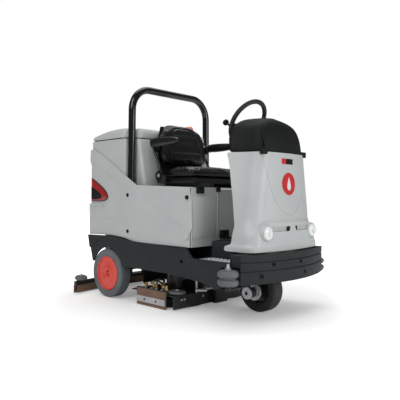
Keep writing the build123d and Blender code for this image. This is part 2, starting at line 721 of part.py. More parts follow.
# Brush deck: plate, side guards, two brushes with their motors, front rollers
def brush_deck():
    front, rear = deck_y - deck_half_length, deck_y + deck_half_length
    top = deck_top_z + deck_plate_wall
    plate = block(-deck_half_width + guard_wall + 3, deck_half_width - guard_wall - 3, front, rear,
                  deck_top_z, top)
    plate += block(-deck_half_width + guard_wall + 3, -40, front, front + deck_plate_wall, 8, top)
    plate += block(40, deck_half_width - guard_wall - 3, front, front + deck_plate_wall, 8, top)
    nose = [(-60, 8), (-60, top), (60, top), (60, 8)]
    nose_face = make_face(Polyline(*nose, close=True))
    plate += extrude(Plane.XZ.offset(-front - deck_plate_wall) * nose_face, deck_plate_wall + 40)
    for side in (-1, 1):
        x = side * brush_spacing / 2
        plate -= rod_z(26, x, deck_y, deck_top_z - 1, top + 1)

    guards = []
    strips = []
    for side in (-1, 1):
        x0, x1 = sorted((side * (deck_half_width - guard_wall), side * deck_half_width))
        guards.append(block(x0, x1, front + 60, rear - 70, 2, deck_top_z + 26))
        face = side * deck_half_width
        x0, x1 = sorted((face + side * rest_gap, face + side * 5))
        strips.append(block(x0, x1, front + 62, rear - 72, 24, 62))
    save_group(guards, "deck_guards")
    save_group(strips, "guard_strips")

    motors = []
    for side in (-1, 1):
        x = side * brush_spacing / 2
        motor = rod_z(brush_motor_radius, x, deck_y, top + rest_gap, top + 130)
        motor = fillet(motor.edges().group_by(Axis.Z)[-1], 8)
        motor += rod_z(14, x, deck_y, brush_plane_z + 20, top + 1)
        motors.append(motor)
        disc = rod_z(brush_radius - 12, x, deck_y, brush_plane_z, brush_plane_z + 18)
        disc += rod_z(34, x, deck_y, brush_plane_z + 18, brush_plane_z + 34)
        bristle = rod_z(brush_radius, x, deck_y, 1, brush_plane_z)
        bristle -= rod_z(70, x, deck_y, 0, brush_plane_z + 1)
        brush = disc + bristle
        brush -= rod_z(14 + running_gap, x, deck_y, 0, brush_plane_z + 40)
        save(brush, "brush_left" if side > 0 else "brush_right")
    save_group(motors, "brush_motors")

    roller_y = front + 62 - deck_roller_radius + 40
    roller_x = deck_half_width - 85
    low_z = top + 2
    roller = rod_z(deck_roller_radius, roller_x, roller_y, low_z, low_z + 22)
    roller = fillet(roller.edges(), 8)
    roller -= rod_z(stud_radius + running_gap, roller_x, roller_y, low_z - 1, low_z + 30)
    save(roller, "deck_roller_left")
    save(mirrored(roller), "deck_roller_right")
    pin = rod_z(stud_radius, roller_x, roller_y, top - 1, low_z + 30)
    save(plate + pin + mirrored(pin), "deck_plate")


# Squeegee on two arms that hinge at the frame's rear
squeegee_pivot_y = squeegee_end_y - 110
squeegee_pivot_z = 150.0
arm_bar_radius = 10.0


def arc_band(front_offset, rear_offset, low_z, high_z, trim):
    """A band that curves back at its middle, between two offsets in Y."""
    half = squeegee_half_width - trim
    end_y = squeegee_end_y
    crown_y = squeegee_end_y + squeegee_crown
    outline = Curve() + [
        ThreePointArc((-half, end_y + front_offset), (0, crown_y + front_offset),
                      (half, end_y + front_offset)),
        Line((half, end_y + front_offset), (half, end_y + rear_offset)),
        ThreePointArc((half, end_y + rear_offset), (0, crown_y + rear_offset),
                      (-half, end_y + rear_offset)),
        Line((-half, end_y + rear_offset), (-half, end_y + front_offset)),
    ]
    return Pos(0, 0, low_z) * extrude(make_face(outline), high_z - low_z)


def squeegee():
    top_z = 84.0
    body = arc_band(-12, 14, squeegee_blade_height - 20, top_z, 0)
    blade_rear = arc_band(14.5, 19, 0.5, squeegee_blade_height, 0)
    blade_front = arc_band(-17, -12.5, 4, squeegee_blade_height, 8)
    save_group([blade_rear, blade_front], "squeegee_blades")
    plate = block(-170, 170, squeegee_end_y - 20, squeegee_end_y + 55, top_z, top_z + 6)
    body += plate
    neck_radius = 30.0
    body += rod_z(neck_radius, 0, squeegee_end_y + 20, top_z, top_z + 60)
    body -= rod_z(neck_radius - 5, 0, squeegee_end_y + 20, top_z + 7, top_z + 61)
    arm_end_y = squeegee_end_y - 10
    for side in (-1, 1):
        x = side * squeegee_arm_x
        ear = block(x - 10, x + 10, arm_end_y - 15, arm_end_y + 20, top_z + 5, squeegee_pivot_z)
        body += ear
        arm = block(x - 10, x + 10, squeegee_pivot_y, arm_end_y, squeegee_pivot_z - 12, squeegee_pivot_z)
        body += arm
    lug_bore = arm_bar_radius + running_gap
    for side in (-1, 1):
        x = side * squeegee_arm_x
        lug = rod_x(24, x - 10, x + 10, squeegee_pivot_y, squeegee_pivot_z)
        body += lug
        body -= rod_x(lug_bore, x - 11, x + 11, squeegee_pivot_y, squeegee_pivot_z)
    roller_x = squeegee_half_width - squeegee_roller_radius + 3
    roller_y = squeegee_end_y - 12
    low_z = top_z + 8
    tab = block(roller_x - 20, roller_x + 20, roller_y - 20, squeegee_end_y + 12, top_z, top_z + 6)
    body += tab + mirrored(tab)
    roller = rod_z(squeegee_roller_radius, roller_x, roller_y, low_z, low_z + 34)
    roller = fillet(roller.edges(), 7)
    roller -= rod_z(stud_radius + running_gap, roller_x, roller_y, low_z - 1, low_z + 40)
    pin = rod_z(stud_radius, roller_x, roller_y, top_z + 5, low_z + 40)
    body += pin + mirrored(pin)
    save(body, "squeegee_body")
    save(roller, "squeegee_roller_left")
    save(mirrored(roller), "squeegee_roller_right")


def squeegee_hanger():
    hanger = rod_x(arm_bar_radius, -squeegee_arm_x - 30, squeegee_arm_x + 30, squeegee_pivot_y,
                   squeegee_pivot_z)
    for side in (-1, 1):
        x = side * (squeegee_arm_x + 22)
        hanger += block(x - 8, x + 8, squeegee_pivot_y - 20, squeegee_pivot_y + 20,
                        squeegee_pivot_z - 14, rail_low_z + 11)
    return [hanger]


# Seat: base, cushion, back and two armrests that fold up
back_pivot_y = tank_front_y - 70.0
back_pivot_z = 846.0
arm_pivot_y = tank_front_y - 40.0


def seat():
    half = seat_half_width
    base = block(-half + 30, half - 30, seat_front_y + 10, back_pivot_y + 24, deck_rear_z + 14,
                 seat_cushion_low_z - rest_gap)
    for side in (-1, 1):
        x = side * (half + 12)
        bracket = block(x - 6, x + 6, back_pivot_y - 60, back_pivot_y + 20, deck_rear_z + 14, back_pivot_z)
        bracket += rod_x(30, x - 6, x + 6, back_pivot_y, back_pivot_z)
        bracket -= rod_x(10 + running_gap, x - 7, x + 7, back_pivot_y, back_pivot_z)
        base += bracket
        low_x, high_x = sorted((x, side * (half - 40)))
        base += block(low_x, high_x, back_pivot_y - 60, back_pivot_y + 20, deck_rear_z + 14,
                      deck_rear_z + 26)
    save(base, "seat_base")
    cushion = block(-half, half, seat_front_y, seat_front_y + seat_depth, seat_cushion_low_z,
                    seat_cushion_high_z)
    cushion = fillet(cushion.edges().filter_by(Axis.Z), 45)
    cushion = fillet(cushion.edges().group_by(Axis.Z)[-1], 18)
    save(cushion, "seat_cushion")

    lean = Plane(origin=(0, back_pivot_y, back_pivot_z), x_dir=(1, 0, 0),
                 z_dir=(0, sin(radians(seat_back_lean)), cos(radians(seat_back_lean))))
    height = (seat_back_high_z - back_pivot_z) / cos(radians(seat_back_lean)) - 4
    low_half, middle_half, high_half = half - 22, half - 32, half - 92
    pad_low = 76
    shape = [(-low_half, pad_low), (-middle_half, height * 0.6), (-high_half, height), (high_half, height),
             (middle_half, height * 0.6), (low_half, pad_low)]
    pad = extrude(Plane.XZ.offset(-38) * make_face(Polyline(*shape, close=True)), 70)
    pad = fillet(pad.edges().filter_by(Axis.Y), 35)
    pad = fillet(pad.edges().group_by(Axis.Y)[0], 16)
    save(lean * pad, "seat_back")

    plate = extrude(Plane.XZ.offset(-48) * make_face(Polyline(
        (-low_half + 14, 0), (-middle_half + 14, height * 0.6), (-high_half + 14, height - 20),
        (high_half - 14, height - 20), (middle_half - 14, height * 0.6), (low_half - 14, 0), close=True)), 9)
    frame = lean * plate
    for side in (-1, 1):
        inner, outer = side * (half - 30), side * (half + 5)
        x0, x1 = sorted((inner, outer))
        strut = block(x0, x1, 0, 48, -16, 30)
        frame += lean * strut
        x0, x1 = sorted((side * (half + 4), side * (half + 18)))
        frame += rod_x(10, x0, x1, back_pivot_y, back_pivot_z)
        x0, x1 = sorted((side * (half - 50), side * (half - 6)))
        frame += lean * block(x0, x1, 39, 48, 180, 232)
        x0, x1 = sorted((side * (half - 20), side * (half - 6)))
        frame += lean * block(x0, x1, -10, 48, 180, 232)
        x0, x1 = sorted((side * (half - 14), side * (half + armrest_width / 2 + 14)))
        frame += rod_x(9, x0, x1, arm_pivot_y + 20, armrest_z - 22)
    save(frame, "seat_back_frame")
    for side, name in ((-1, "right"), (1, "left")):
        x = side * (half + armrest_width / 2 + 2)
        rest = block(x - armrest_width / 2, x + armrest_width / 2, arm_pivot_y + 48 - armrest_length,
                     arm_pivot_y + 48, armrest_z - 38, armrest_z + 38)
        rest = fillet(rest.edges().filter_by(Axis.Y), 24)
        rest -= rod_x(9 + running_gap, x - 40, x + 40, arm_pivot_y + 20, armrest_z - 22)
        save(rest, f"armrest_{name}")


# Pedals and the switches on the console
pedal_y = cowl_front_y + 60.0
pedal_z = platform_z + 62.0


def pedal_bar():
    bar = rod_x(8, -220, 220, pedal_y, pedal_z)
    for x in (-200, 200):
        bar += block(x - 10, x + 10, pedal_y - 25, pedal_y + 14, cowl_foot_z - 60, pedal_z + 12)
    bar += block(-210, 210, pedal_y - 25, pedal_y + 14, cowl_foot_z - 60, cowl_foot_z - 50)
    return [bar]


def controls():
    for x, name in ((-120, "accelerator_pedal"), (120, "brake_pedal")):
        bar_y, bar_z = pedal_y, pedal_z
        pad = side_profile([(bar_y - 4, bar_z - 18), (bar_y + 6, bar_z - 12),
                            (bar_y + 84, bar_z - 44), (bar_y + 80, bar_z - 54)], x - 40, x + 40)
        boss = rod_x(16, x - 40, x + 40, bar_y, bar_z)
        pedal = pad + boss - rod_x(8 + running_gap, x - 41, x + 41, bar_y, bar_z)
        save(pedal, name)
    button = Pos(-switch_x, 0, 14) * Cylinder(20, 14) + Pos(-switch_x, 0, 0) * Cylinder(10, 16)
    stop = console_face * button
    save(stop, "emergency_button")
    key = console_face * (Pos(switch_x, 0, 6) * Cylinder(9, 20) + Pos(switch_x, 0, 26) * Box(6, 22, 22))
    save(key, "ignition_key")


main_frame()
side_skirt()
platform()
body_panels()
inner_units()
recovery_tank()
tank_lid()
hoop_guard()
rear_lamps()
front_cowl()
head_lamps()
dash_cap()
steering()
bumper()
corner_rollers()
drive_unit()
rear_wheels()
brush_deck()
squeegee()
seat()
controls()
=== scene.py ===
import bpy
import bmesh
import json
import math
import random
from mathutils import Matrix, Vector, kdtree


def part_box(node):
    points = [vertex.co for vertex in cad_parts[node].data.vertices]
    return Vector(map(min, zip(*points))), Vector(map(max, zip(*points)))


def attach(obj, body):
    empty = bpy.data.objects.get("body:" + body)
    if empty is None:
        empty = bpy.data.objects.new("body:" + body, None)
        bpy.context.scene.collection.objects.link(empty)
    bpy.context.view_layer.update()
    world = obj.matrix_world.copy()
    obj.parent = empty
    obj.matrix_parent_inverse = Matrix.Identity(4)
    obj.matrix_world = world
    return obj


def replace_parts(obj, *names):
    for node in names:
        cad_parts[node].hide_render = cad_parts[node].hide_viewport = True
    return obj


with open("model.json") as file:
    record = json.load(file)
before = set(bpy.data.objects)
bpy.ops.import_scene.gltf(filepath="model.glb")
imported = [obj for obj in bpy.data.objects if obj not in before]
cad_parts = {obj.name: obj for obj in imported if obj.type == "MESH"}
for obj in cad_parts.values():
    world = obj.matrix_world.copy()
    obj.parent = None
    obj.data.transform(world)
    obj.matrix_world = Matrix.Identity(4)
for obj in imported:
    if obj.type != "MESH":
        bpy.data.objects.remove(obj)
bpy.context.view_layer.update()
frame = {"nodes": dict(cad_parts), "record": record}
nodes = frame["nodes"]
joints = {joint["name"]: joint for joint in frame["record"]["behaviour"]["joints"]}
print("frame loaded", len(nodes))

# camera and room
view = {"place": (-2.546, -2.487, 0.719), "azimuth": -45.974, "elevation": 0.586, "roll": 0.361, "lens": 46.1}
scene = bpy.context.scene


def makeCamera():
    a, e = math.radians(view["azimuth"]), math.radians(view["elevation"])
    back = Vector((math.sin(a) * math.cos(e), -math.cos(a) * math.cos(e), math.sin(e)))
    right = Vector((math.cos(a), math.sin(a), 0))
    up = back.cross(right)
    c, s = math.cos(math.radians(view["roll"])), math.sin(math.radians(view["roll"]))
    right, up = c * right + s * up, c * up - s * right
    camData = bpy.data.cameras.new("camera")
    camData.lens = view["lens"]
    camData.sensor_width = 36
    cam = bpy.data.objects.new("camera", camData)
    turn = Matrix((right, up, back)).transposed().to_4x4()
    cam.matrix_world = Matrix.Translation(view["place"]) @ turn
    scene.collection.objects.link(cam)
    scene.camera = cam


def makeLight(name, place, target, size, power, colour=(1, 1, 1)):
    data = bpy.data.lights.new(name, "AREA")
    data.shape = "RECTANGLE"
    data.size, data.size_y = size
    data.energy = power
    data.color = colour
    lamp = bpy.data.objects.new(name, data)
    lamp.location = place
    lamp.rotation_euler = (Vector(target) - Vector(place)).to_track_quat("-Z", "Y").to_euler()
    scene.collection.objects.link(lamp)


def newMaterial(name):
    mat = bpy.data.materials.new(name)
    mat.use_nodes = True
    return mat, mat.node_tree, mat.node_tree.nodes["Principled BSDF"]


def addNode(tree, kind, values=None, **props):
    node = tree.nodes.new(kind)
    for key, value in props.items():
        setattr(node, key, value)
    for key, value in (values or {}).items():
        node.inputs[key].default_value = value
    return node


def makeRoom():
    world = bpy.data.worlds.new("studio")
    world.use_nodes = True
    tree = world.node_tree
    sky = tree.nodes["Background"]
    seen = addNode(tree, "ShaderNodeLightPath")
    place = addNode(tree, "ShaderNodeTexCoord")
    split = addNode(tree, "ShaderNodeSeparateXYZ")
    rise = addNode(tree, "ShaderNodeMapRange", {"From Min": 0.0, "From Max": 0.8, "To Min": 0.20, "To Max": 0.62})
    level = addNode(tree, "ShaderNodeMix")
    tree.links.new(place.outputs["Generated"], split.inputs["Vector"])
    tree.links.new(split.outputs["Z"], rise.inputs["Value"])
    tree.links.new(seen.outputs["Is Camera Ray"], level.inputs["Factor"])
    mirrorRay = addNode(tree, "ShaderNodeMix")
    mirrorRay.inputs["B"].default_value = 0.10
    tree.links.new(seen.outputs["Is Glossy Ray"], mirrorRay.inputs["Factor"])
    tree.links.new(rise.outputs["Result"], mirrorRay.inputs["A"])
    tree.links.new(mirrorRay.outputs["Result"], level.inputs["A"])
    level.inputs["B"].default_value = 1.0
    tree.links.new(level.outputs["Result"], sky.inputs["Strength"])
    sky.inputs["Color"].default_value = (1, 1, 1, 1)
    scene.world = world
    scene.view_settings.view_transform = "Standard"
    bm = bmesh.new()
    bmesh.ops.create_grid(bm, x_segments=1, y_segments=1, size=14)
    mesh = bpy.data.meshes.new("floor")
    bm.to_mesh(mesh)
    floor = bpy.data.objects.new("floor", mesh)
    scene.collection.objects.link(floor)
    mat, tree, shader = newMaterial("paleFloor")
    shader.inputs["Base Color"].default_value = (0.93, 0.93, 0.93, 1)
    shader.inputs["Roughness"].default_value = 0.75
    shader.inputs["Emission Color"].default_value = (1, 1, 1, 1)
    glow = addNode(tree, "ShaderNodeLightPath")
    spot = addNode(tree, "ShaderNodeTexCoord")
    far = addNode(tree, "ShaderNodeVectorMath", operation="LENGTH")
    fade = addNode(tree, "ShaderNodeMapRange", {"From Min": 0.9, "From Max": 2.6, "To Min": 0.22, "To Max": 1.0})
    both = addNode(tree, "ShaderNodeMath", operation="MULTIPLY")
    tree.links.new(spot.outputs["Object"], far.inputs["Vector"])
    tree.links.new(far.outputs["Value"], fade.inputs["Value"])
    tree.links.new(fade.outputs["Result"], both.inputs[0])
    tree.links.new(glow.outputs["Is Camera Ray"], both.inputs[1])
    tree.links.new(both.outputs["Value"], shader.inputs["Emission Strength"])
    mesh.materials.append(mat)
    makeLight("keyLight", (-3.6, -1.2, 3.6), (0, 0, 0.5), (2.6, 2.6), 64)
    makeLight("frontLight", (0.7, -4.4, 1.3), (0, -0.5, 0.5), (2.6, 1.6), 44)
    makeLight("topLight", (0.6, 0.6, 4.2), (0, 0, 0.6), (3.2, 3.2), 52)
    makeLight("rearLight", (3.6, 3.0, 2.6), (0, 0, 0.6), (2.5, 2.5), 22)


makeCamera()
makeRoom()
print("room done")


# shader group: fine grain and broad tone
def newGroup(name, inputs, outputs):
    group = bpy.data.node_groups.new(name, "ShaderNodeTree")
    for label, kind, value in inputs:
        socket = group.interface.new_socket(label, in_out="INPUT", socket_type=kind)
        socket.default_value = value
    for label, kind in outputs:
        group.interface.new_socket(label, in_out="OUTPUT", socket_type=kind)
    return group, group.nodes.new("NodeGroupInput"), group.nodes.new("NodeGroupOutput")


def grainGroup():
    group, gin, gout = newGroup(
        "surfaceGrain",
        [("Fine Scale", "NodeSocketFloat", 900.0), ("Broad Scale", "NodeSocketFloat", 5.0),
         ("Base", "NodeSocketColor", (0.5, 0.5, 0.5, 1)), ("Shade", "NodeSocketColor", (0.4, 0.4, 0.4, 1)),
         ("Low Rough", "NodeSocketFloat", 0.3), ("High Rough", "NodeSocketFloat", 0.5)],
        [("Color", "NodeSocketColor"), ("Roughness", "NodeSocketFloat"), ("Height", "NodeSocketFloat")])
    links = group.links
    place = addNode(group, "ShaderNodeTexCoord")
    fine = addNode(group, "ShaderNodeTexNoise", {"Detail": 3.0, "Roughness": 0.6})
    broad = addNode(group, "ShaderNodeTexNoise", {"Detail": 4.0, "Roughness": 0.55})
    links.new(place.outputs["Object"], fine.inputs["Vector"])
    links.new(place.outputs["Object"], broad.inputs["Vector"])
    links.new(gin.outputs["Fine Scale"], fine.inputs["Scale"])
    links.new(gin.outputs["Broad Scale"], broad.inputs["Scale"])
    spread = addNode(group, "ShaderNodeMapRange", {"From Min": 0.35, "From Max": 0.7})
    links.new(broad.outputs["Fac"], spread.inputs["Value"])
    mix = addNode(group, "ShaderNodeMix", data_type="RGBA")
    links.new(spread.outputs["Result"], mix.inputs["Factor"])
    links.new(gin.outputs["Base"], mix.inputs["A"])
    links.new(gin.outputs["Shade"], mix.inputs["B"])
    links.new(mix.outputs["Result"], gout.inputs["Color"])
    rough = addNode(group, "ShaderNodeMapRange")
    links.new(broad.outputs["Fac"], rough.inputs["Value"])
    links.new(gin.outputs["Low Rough"], rough.inputs["To Min"])
    links.new(gin.outputs["High Rough"], rough.inputs["To Max"])
    links.new(rough.outputs["Result"], gout.inputs["Roughness"])
    links.new(fine.outputs["Fac"], gout.inputs["Height"])
    return group


surfaceGrain = grainGroup()


def surface(name, base, shade=None, low=0.3, high=0.5, fine=900.0, bump=0.08, depth=0.0004, metal=0.0,
            coat=0.0, broad=5.0, wear=None, glow=0.0, shine=0.5):
    mat, tree, shader = newMaterial(name)
    shader.inputs["Specular IOR Level"].default_value = shine
    grain = tree.nodes.new("ShaderNodeGroup")
    grain.node_tree = surfaceGrain
    shade = shade or tuple(0.86 * c for c in base)
    grain.inputs["Base"].default_value = (*base, 1)
    grain.inputs["Shade"].default_value = (*shade, 1)
    grain.inputs["Fine Scale"].default_value = fine
    grain.inputs["Broad Scale"].default_value = broad
    grain.inputs["Low Rough"].default_value = low
    grain.inputs["High Rough"].default_value = high
    tree.links.new(grain.outputs["Roughness"], shader.inputs["Roughness"])
    colour = grain.outputs["Color"]
    if wear:
        worn = addNode(tree, "ShaderNodeTexNoise", {"Scale": wear[1], "Detail": 8.0, "Roughness": 0.7})
        place = addNode(tree, "ShaderNodeTexCoord")
        tree.links.new(place.outputs["Object"], worn.inputs["Vector"])
        gate = addNode(tree, "ShaderNodeMapRange", {"From Min": wear[2], "From Max": wear[2] + 0.08})
        tree.links.new(worn.outputs["Fac"], gate.inputs["Value"])
        mix = addNode(tree, "ShaderNodeMix", data_type="RGBA")
        mix.inputs["B"].default_value = (*wear[0], 1)
        tree.links.new(gate.outputs["Result"], mix.inputs["Factor"])
        tree.links.new(colour, mix.inputs["A"])
        colour = mix.outputs["Result"]
    tree.links.new(colour, shader.inputs["Base Color"])
    height = addNode(tree, "ShaderNodeBump", {"Strength": bump, "Distance": depth})
    tree.links.new(grain.outputs["Height"], height.inputs["Height"])
    tree.links.new(height.outputs["Normal"], shader.inputs["Normal"])
    shader.inputs["Metallic"].default_value = metal
    shader.inputs["Coat Weight"].default_value = coat
    shader.inputs["Coat Roughness"].default_value = 0.12
    if glow:
        shader.inputs["Emission Color"].default_value = (*base, 1)
        shader.inputs["Emission Strength"].default_value = glow
    return mat


finishes = {
    "body_plastic": surface("greyMoulding", (0.535, 0.555, 0.555), (0.50, 0.52, 0.52), 0.34, 0.46, 1400, 0.10,
                            coat=0.08, wear=((0.46, 0.47, 0.46), 60, 0.70)),
    "skirt_plastic": surface("anthraciteMoulding", (0.016, 0.020, 0.023), (0.022, 0.026, 0.029), 0.45, 0.62, 1500, 0.22, shine=0.3),
    "bumper_plastic": surface("bumperMoulding", (0.012, 0.015, 0.017), (0.018, 0.021, 0.024), 0.42, 0.58, 1500, 0.2, shine=0.3,
                              wear=((0.06, 0.065, 0.07), 45, 0.68)),
    "frame_paint": surface("frameEnamel", (0.016, 0.017, 0.019), (0.03, 0.03, 0.03), 0.36, 0.55, 700, 0.06, coat=0.15, shine=0.35,
                           wear=((0.10, 0.085, 0.07), 30, 0.66)),
    "tread_aluminium": surface("treadAluminium", (0.62, 0.63, 0.64), (0.5, 0.5, 0.51), 0.35, 0.5, 600, 0.12, metal=0.45),
    "battery_case": surface("batteryCase", (0.03, 0.03, 0.03), None, 0.4, 0.6),
    "tank_plastic": surface("tankMoulding", (0.25, 0.25, 0.25), None, 0.5, 0.7),
    "motor_case": surface("motorEnamel", (0.02, 0.02, 0.022), None, 0.3, 0.5, coat=0.3),
    "black_tube": surface("glossTube", (0.004, 0.004, 0.0045), (0.006, 0.006, 0.006), 0.12, 0.2, 500, 0.02, coat=0.6),
    "red_lens": surface("redLens", (0.42, 0.018, 0.02), (0.30, 0.012, 0.014), 0.08, 0.16, 300, 0.02, coat=1.0),
    "clear_lens": surface("frostedLens", (0.86, 0.87, 0.88), (0.78, 0.79, 0.8), 0.06, 0.14, 260, 0.03, coat=1.0),
    "amber_lens": surface("amberLens", (0.85, 0.20, 0.03), (0.75, 0.15, 0.02), 0.08, 0.15, 260, 0.02, coat=1.0, glow=0.15),
    "cap_plastic": surface("grainedBlack", (0.006, 0.0075, 0.008), (0.010, 0.0115, 0.012), 0.5, 0.66, 1300, 0.35, shine=0.22),
    "grip_rubber": surface("gripRubber", (0.012, 0.012, 0.013), (0.02, 0.02, 0.021), 0.35, 0.55, 1200, 0.2),
    "cast_aluminium": surface("castAluminium", (0.66, 0.67, 0.69), (0.52, 0.53, 0.55), 0.3, 0.5, 420, 0.2, metal=0.6),
    "black_tyre": surface("blackTyre", (0.022, 0.024, 0.027), (0.04, 0.042, 0.045), 0.55, 0.8, 900, 0.3,
                          wear=((0.08, 0.08, 0.08), 25, 0.62)),
    "grey_tyre": surface("greyTyre", (0.145, 0.16, 0.17), (0.115, 0.128, 0.138), 0.5, 0.7, 900, 0.25,
                         wear=((0.2, 0.2, 0.2), 28, 0.66)),
    "red_hub": surface("redHubPaint", (0.80, 0.065, 0.038), (0.72, 0.05, 0.03), 0.3, 0.42, 500, 0.05, coat=0.35),
    "roller_rubber": surface("rollerRubber", (0.15, 0.155, 0.165), (0.11, 0.115, 0.125), 0.45, 0.65, 900, 0.2),
    "tan_rubber": surface("gumRubber", (0.23, 0.135, 0.085), (0.16, 0.09, 0.055), 0.4, 0.6, 700, 0.12),
    "brush_plastic": surface("bristleNylon", (0.012, 0.03, 0.032), (0.02, 0.045, 0.045), 0.5, 0.7, 260, 0.6, depth=0.002),
    "red_button": surface("redButton", (0.65, 0.02, 0.02), None, 0.2, 0.3, coat=0.6),
    "steel_key": surface("keySteel", (0.6, 0.6, 0.6), None, 0.25, 0.4, metal=1.0),
    "brass": surface("brassFitting", (0.78, 0.52, 0.2), (0.6, 0.38, 0.13), 0.22, 0.4, 400, 0.05, metal=0.75),
    "steel": surface("platedSteel", (0.72, 0.72, 0.73), (0.55, 0.55, 0.57), 0.18, 0.38, 400, 0.04, metal=0.7),
    "hose": surface("hoseRubber", (0.015, 0.016, 0.018), None, 0.3, 0.5, 500, 0.1, coat=0.2),
    "seam": surface("lidSeal", (0.006, 0.006, 0.006), None, 0.6, 0.8),
    "markRed": surface("markRed", (0.62, 0.02, 0.025), None, 0.3, 0.4, coat=0.4),
    "markWhite": surface("markWhite", (0.82, 0.82, 0.82), None, 0.3, 0.4, coat=0.4),
}


def vinylMaterial():
    mat, tree, shader = newMaterial("seatVinyl")
    place = addNode(tree, "ShaderNodeTexCoord")
    cells = addNode(tree, "ShaderNodeTexVoronoi", {"Scale": 420.0}, feature="DISTANCE_TO_EDGE")
    folds = addNode(tree, "ShaderNodeTexNoise", {"Scale": 14.0, "Detail": 3.0})
    tree.links.new(place.outputs["Object"], cells.inputs["Vector"])
    tree.links.new(place.outputs["Object"], folds.inputs["Vector"])
    pores = addNode(tree, "ShaderNodeMapRange", {"From Max": 0.12})
    tree.links.new(cells.outputs["Distance"], pores.inputs["Value"])
    small = addNode(tree, "ShaderNodeBump", {"Strength": 0.25, "Distance": 0.0004})
    tree.links.new(pores.outputs["Result"], small.inputs["Height"])
    broad = addNode(tree, "ShaderNodeBump", {"Strength": 0.25, "Distance": 0.004})
    tree.links.new(folds.outputs["Fac"], broad.inputs["Height"])
    tree.links.new(small.outputs["Normal"], broad.inputs["Normal"])
    tree.links.new(broad.outputs["Normal"], shader.inputs["Normal"])
    rough = addNode(tree, "ShaderNodeMapRange", {"To Min": 0.22, "To Max": 0.42})
    tree.links.new(folds.outputs["Fac"], rough.inputs["Value"])
    tree.links.new(rough.outputs["Result"], shader.inputs["Roughness"])
    tone = addNode(tree, "ShaderNodeMix", data_type="RGBA")
    tone.inputs["A"].default_value = (0.004, 0.004, 0.0045, 1)
    tone.inputs["B"].default_value = (0.009, 0.009, 0.010, 1)
    tree.links.new(folds.outputs["Fac"], tone.inputs["Factor"])
    tree.links.new(tone.outputs["Result"], shader.inputs["Base Color"])
    shader.inputs["Coat Weight"].default_value = 0.35
    shader.inputs["Coat Roughness"].default_value = 0.2
    return mat


finishes["seat_vinyl"] = vinylMaterial()
slotOf = {part["node"]: part["material_slot"] for part in frame["record"]["subparts"]}
for name, node in nodes.items():
    node.data.materials.clear()
    node.data.materials.append(finishes[slotOf[name]])
print("materials done", len(finishes))


# helpers for new pieces
def keep(bm, name, body, finish, smooth=True, angle=35, normals=True):
    if normals:
        bmesh.ops.recalc_face_normals(bm, faces=bm.faces)
    mesh = bpy.data.meshes.new(name)
    bm.to_mesh(mesh)
    bm.free()
    piece = bpy.data.objects.new(name, mesh)
    scene.collection.objects.link(piece)
    mesh.materials.append(finishes[finish])
    if smooth:
        mesh.shade_smooth()
        mesh.set_sharp_from_angle(angle=math.radians(angle))
    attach(piece, body)
    return piece


def roundEdges(bm, width, segments=3, edges=None, minAngle=25):
    chosen = edges
    if chosen is None:
        limit = math.radians(minAngle)
        chosen = [e for e in bm.edges if len(e.link_faces) == 2 and e.calc_face_angle(0) > limit]
    bmesh.ops.bevel(bm, geom=chosen, offset=width, segments=segments, profile=0.5, affect="EDGES",
                    material=-1, clamp_overlap=True)


def sideOutline(bm, points, x):
    verts = [bm.verts.new((x, y, z)) for y, z in points]
    return bm.faces.new(verts)


def thicken(bm, face, move):
    made = bmesh.ops.extrude_face_region(bm, geom=[face])["geom"]
    bmesh.ops.translate(bm, verts=[v for v in made if isinstance(v, bmesh.types.BMVert)], vec=move)


def addCylinder(bm, start, end, radius, segments=32, endRadius=None):
    start, end = Vector(start), Vector(end)
    axis = end - start
    turn = axis.to_track_quat("Z", "Y").to_matrix().to_4x4()
    bmesh.ops.create_cone(bm, cap_ends=True, segments=segments, radius1=radius,
                          radius2=radius if endRadius is None else endRadius, depth=axis.length,
                          matrix=Matrix.Translation((start + end) / 2) @ turn)


def addBlock(bm, low, high):
    low, high = Vector(low), Vector(high)
    size = high - low
    bmesh.ops.create_cube(bm, size=1, matrix=Matrix.Translation((low + high) / 2) @ Matrix.Diagonal((*size, 1)))


def carve(piece, cutter):
    mod = piece.modifiers.new("cut", "BOOLEAN")
    mod.operation = "DIFFERENCE"
    mod.solver = "EXACT"
    mod.object = cutter
    bake(piece)
    bpy.data.objects.remove(cutter)


def bake(piece):
    graph = bpy.context.evaluated_depsgraph_get()
    mesh = bpy.data.meshes.new_from_object(piece.evaluated_get(graph))
    piece.modifiers.clear()
    piece.data = mesh


def evenNormals(piece):
    even = piece.modifiers.new("normals", "WEIGHTED_NORMAL")
    even.keep_sharp = True
    even.weight = 80
    return piece


def plainPiece(bm, name):
    bmesh.ops.recalc_face_normals(bm, faces=bm.faces)
    mesh = bpy.data.meshes.new(name)
    bm.to_mesh(mesh)
    bm.free()
    piece = bpy.data.objects.new(name, mesh)
    scene.collection.objects.link(piece)
    return piece


def finishCad(node, width, segments=2):
    # merged, flattened and rounded CAD node
    piece = nodes[node]
    weld = piece.modifiers.new("merge", "WELD")
    weld.merge_threshold = 0.00005
    flat = piece.modifiers.new("flatten", "DECIMATE")
    flat.decimate_type = "DISSOLVE"
    flat.angle_limit = math.radians(1.5)
    edge = piece.modifiers.new("edges", "BEVEL")
    edge.width = width
    edge.segments = segments
    edge.limit_method = "ANGLE"
    edge.angle_limit = math.radians(40)
    even = piece.modifiers.new("normals", "WEIGHTED_NORMAL")
    even.keep_sharp = True


for node, width in {"skirt_left": 0.003, "skirt_right": 0.003, "foot_platform": 0.002, "deck_plate": 0.0015,
                    "bumper": 0.002, "rear_panel": 0.002, "seat_box_front": 0.0015, "seat_deck": 0.0015,
                    "main_frame": 0.0015, "steering_fork": 0.0015, "seat_base": 0.0015}.items():
    finishCad(node, width)

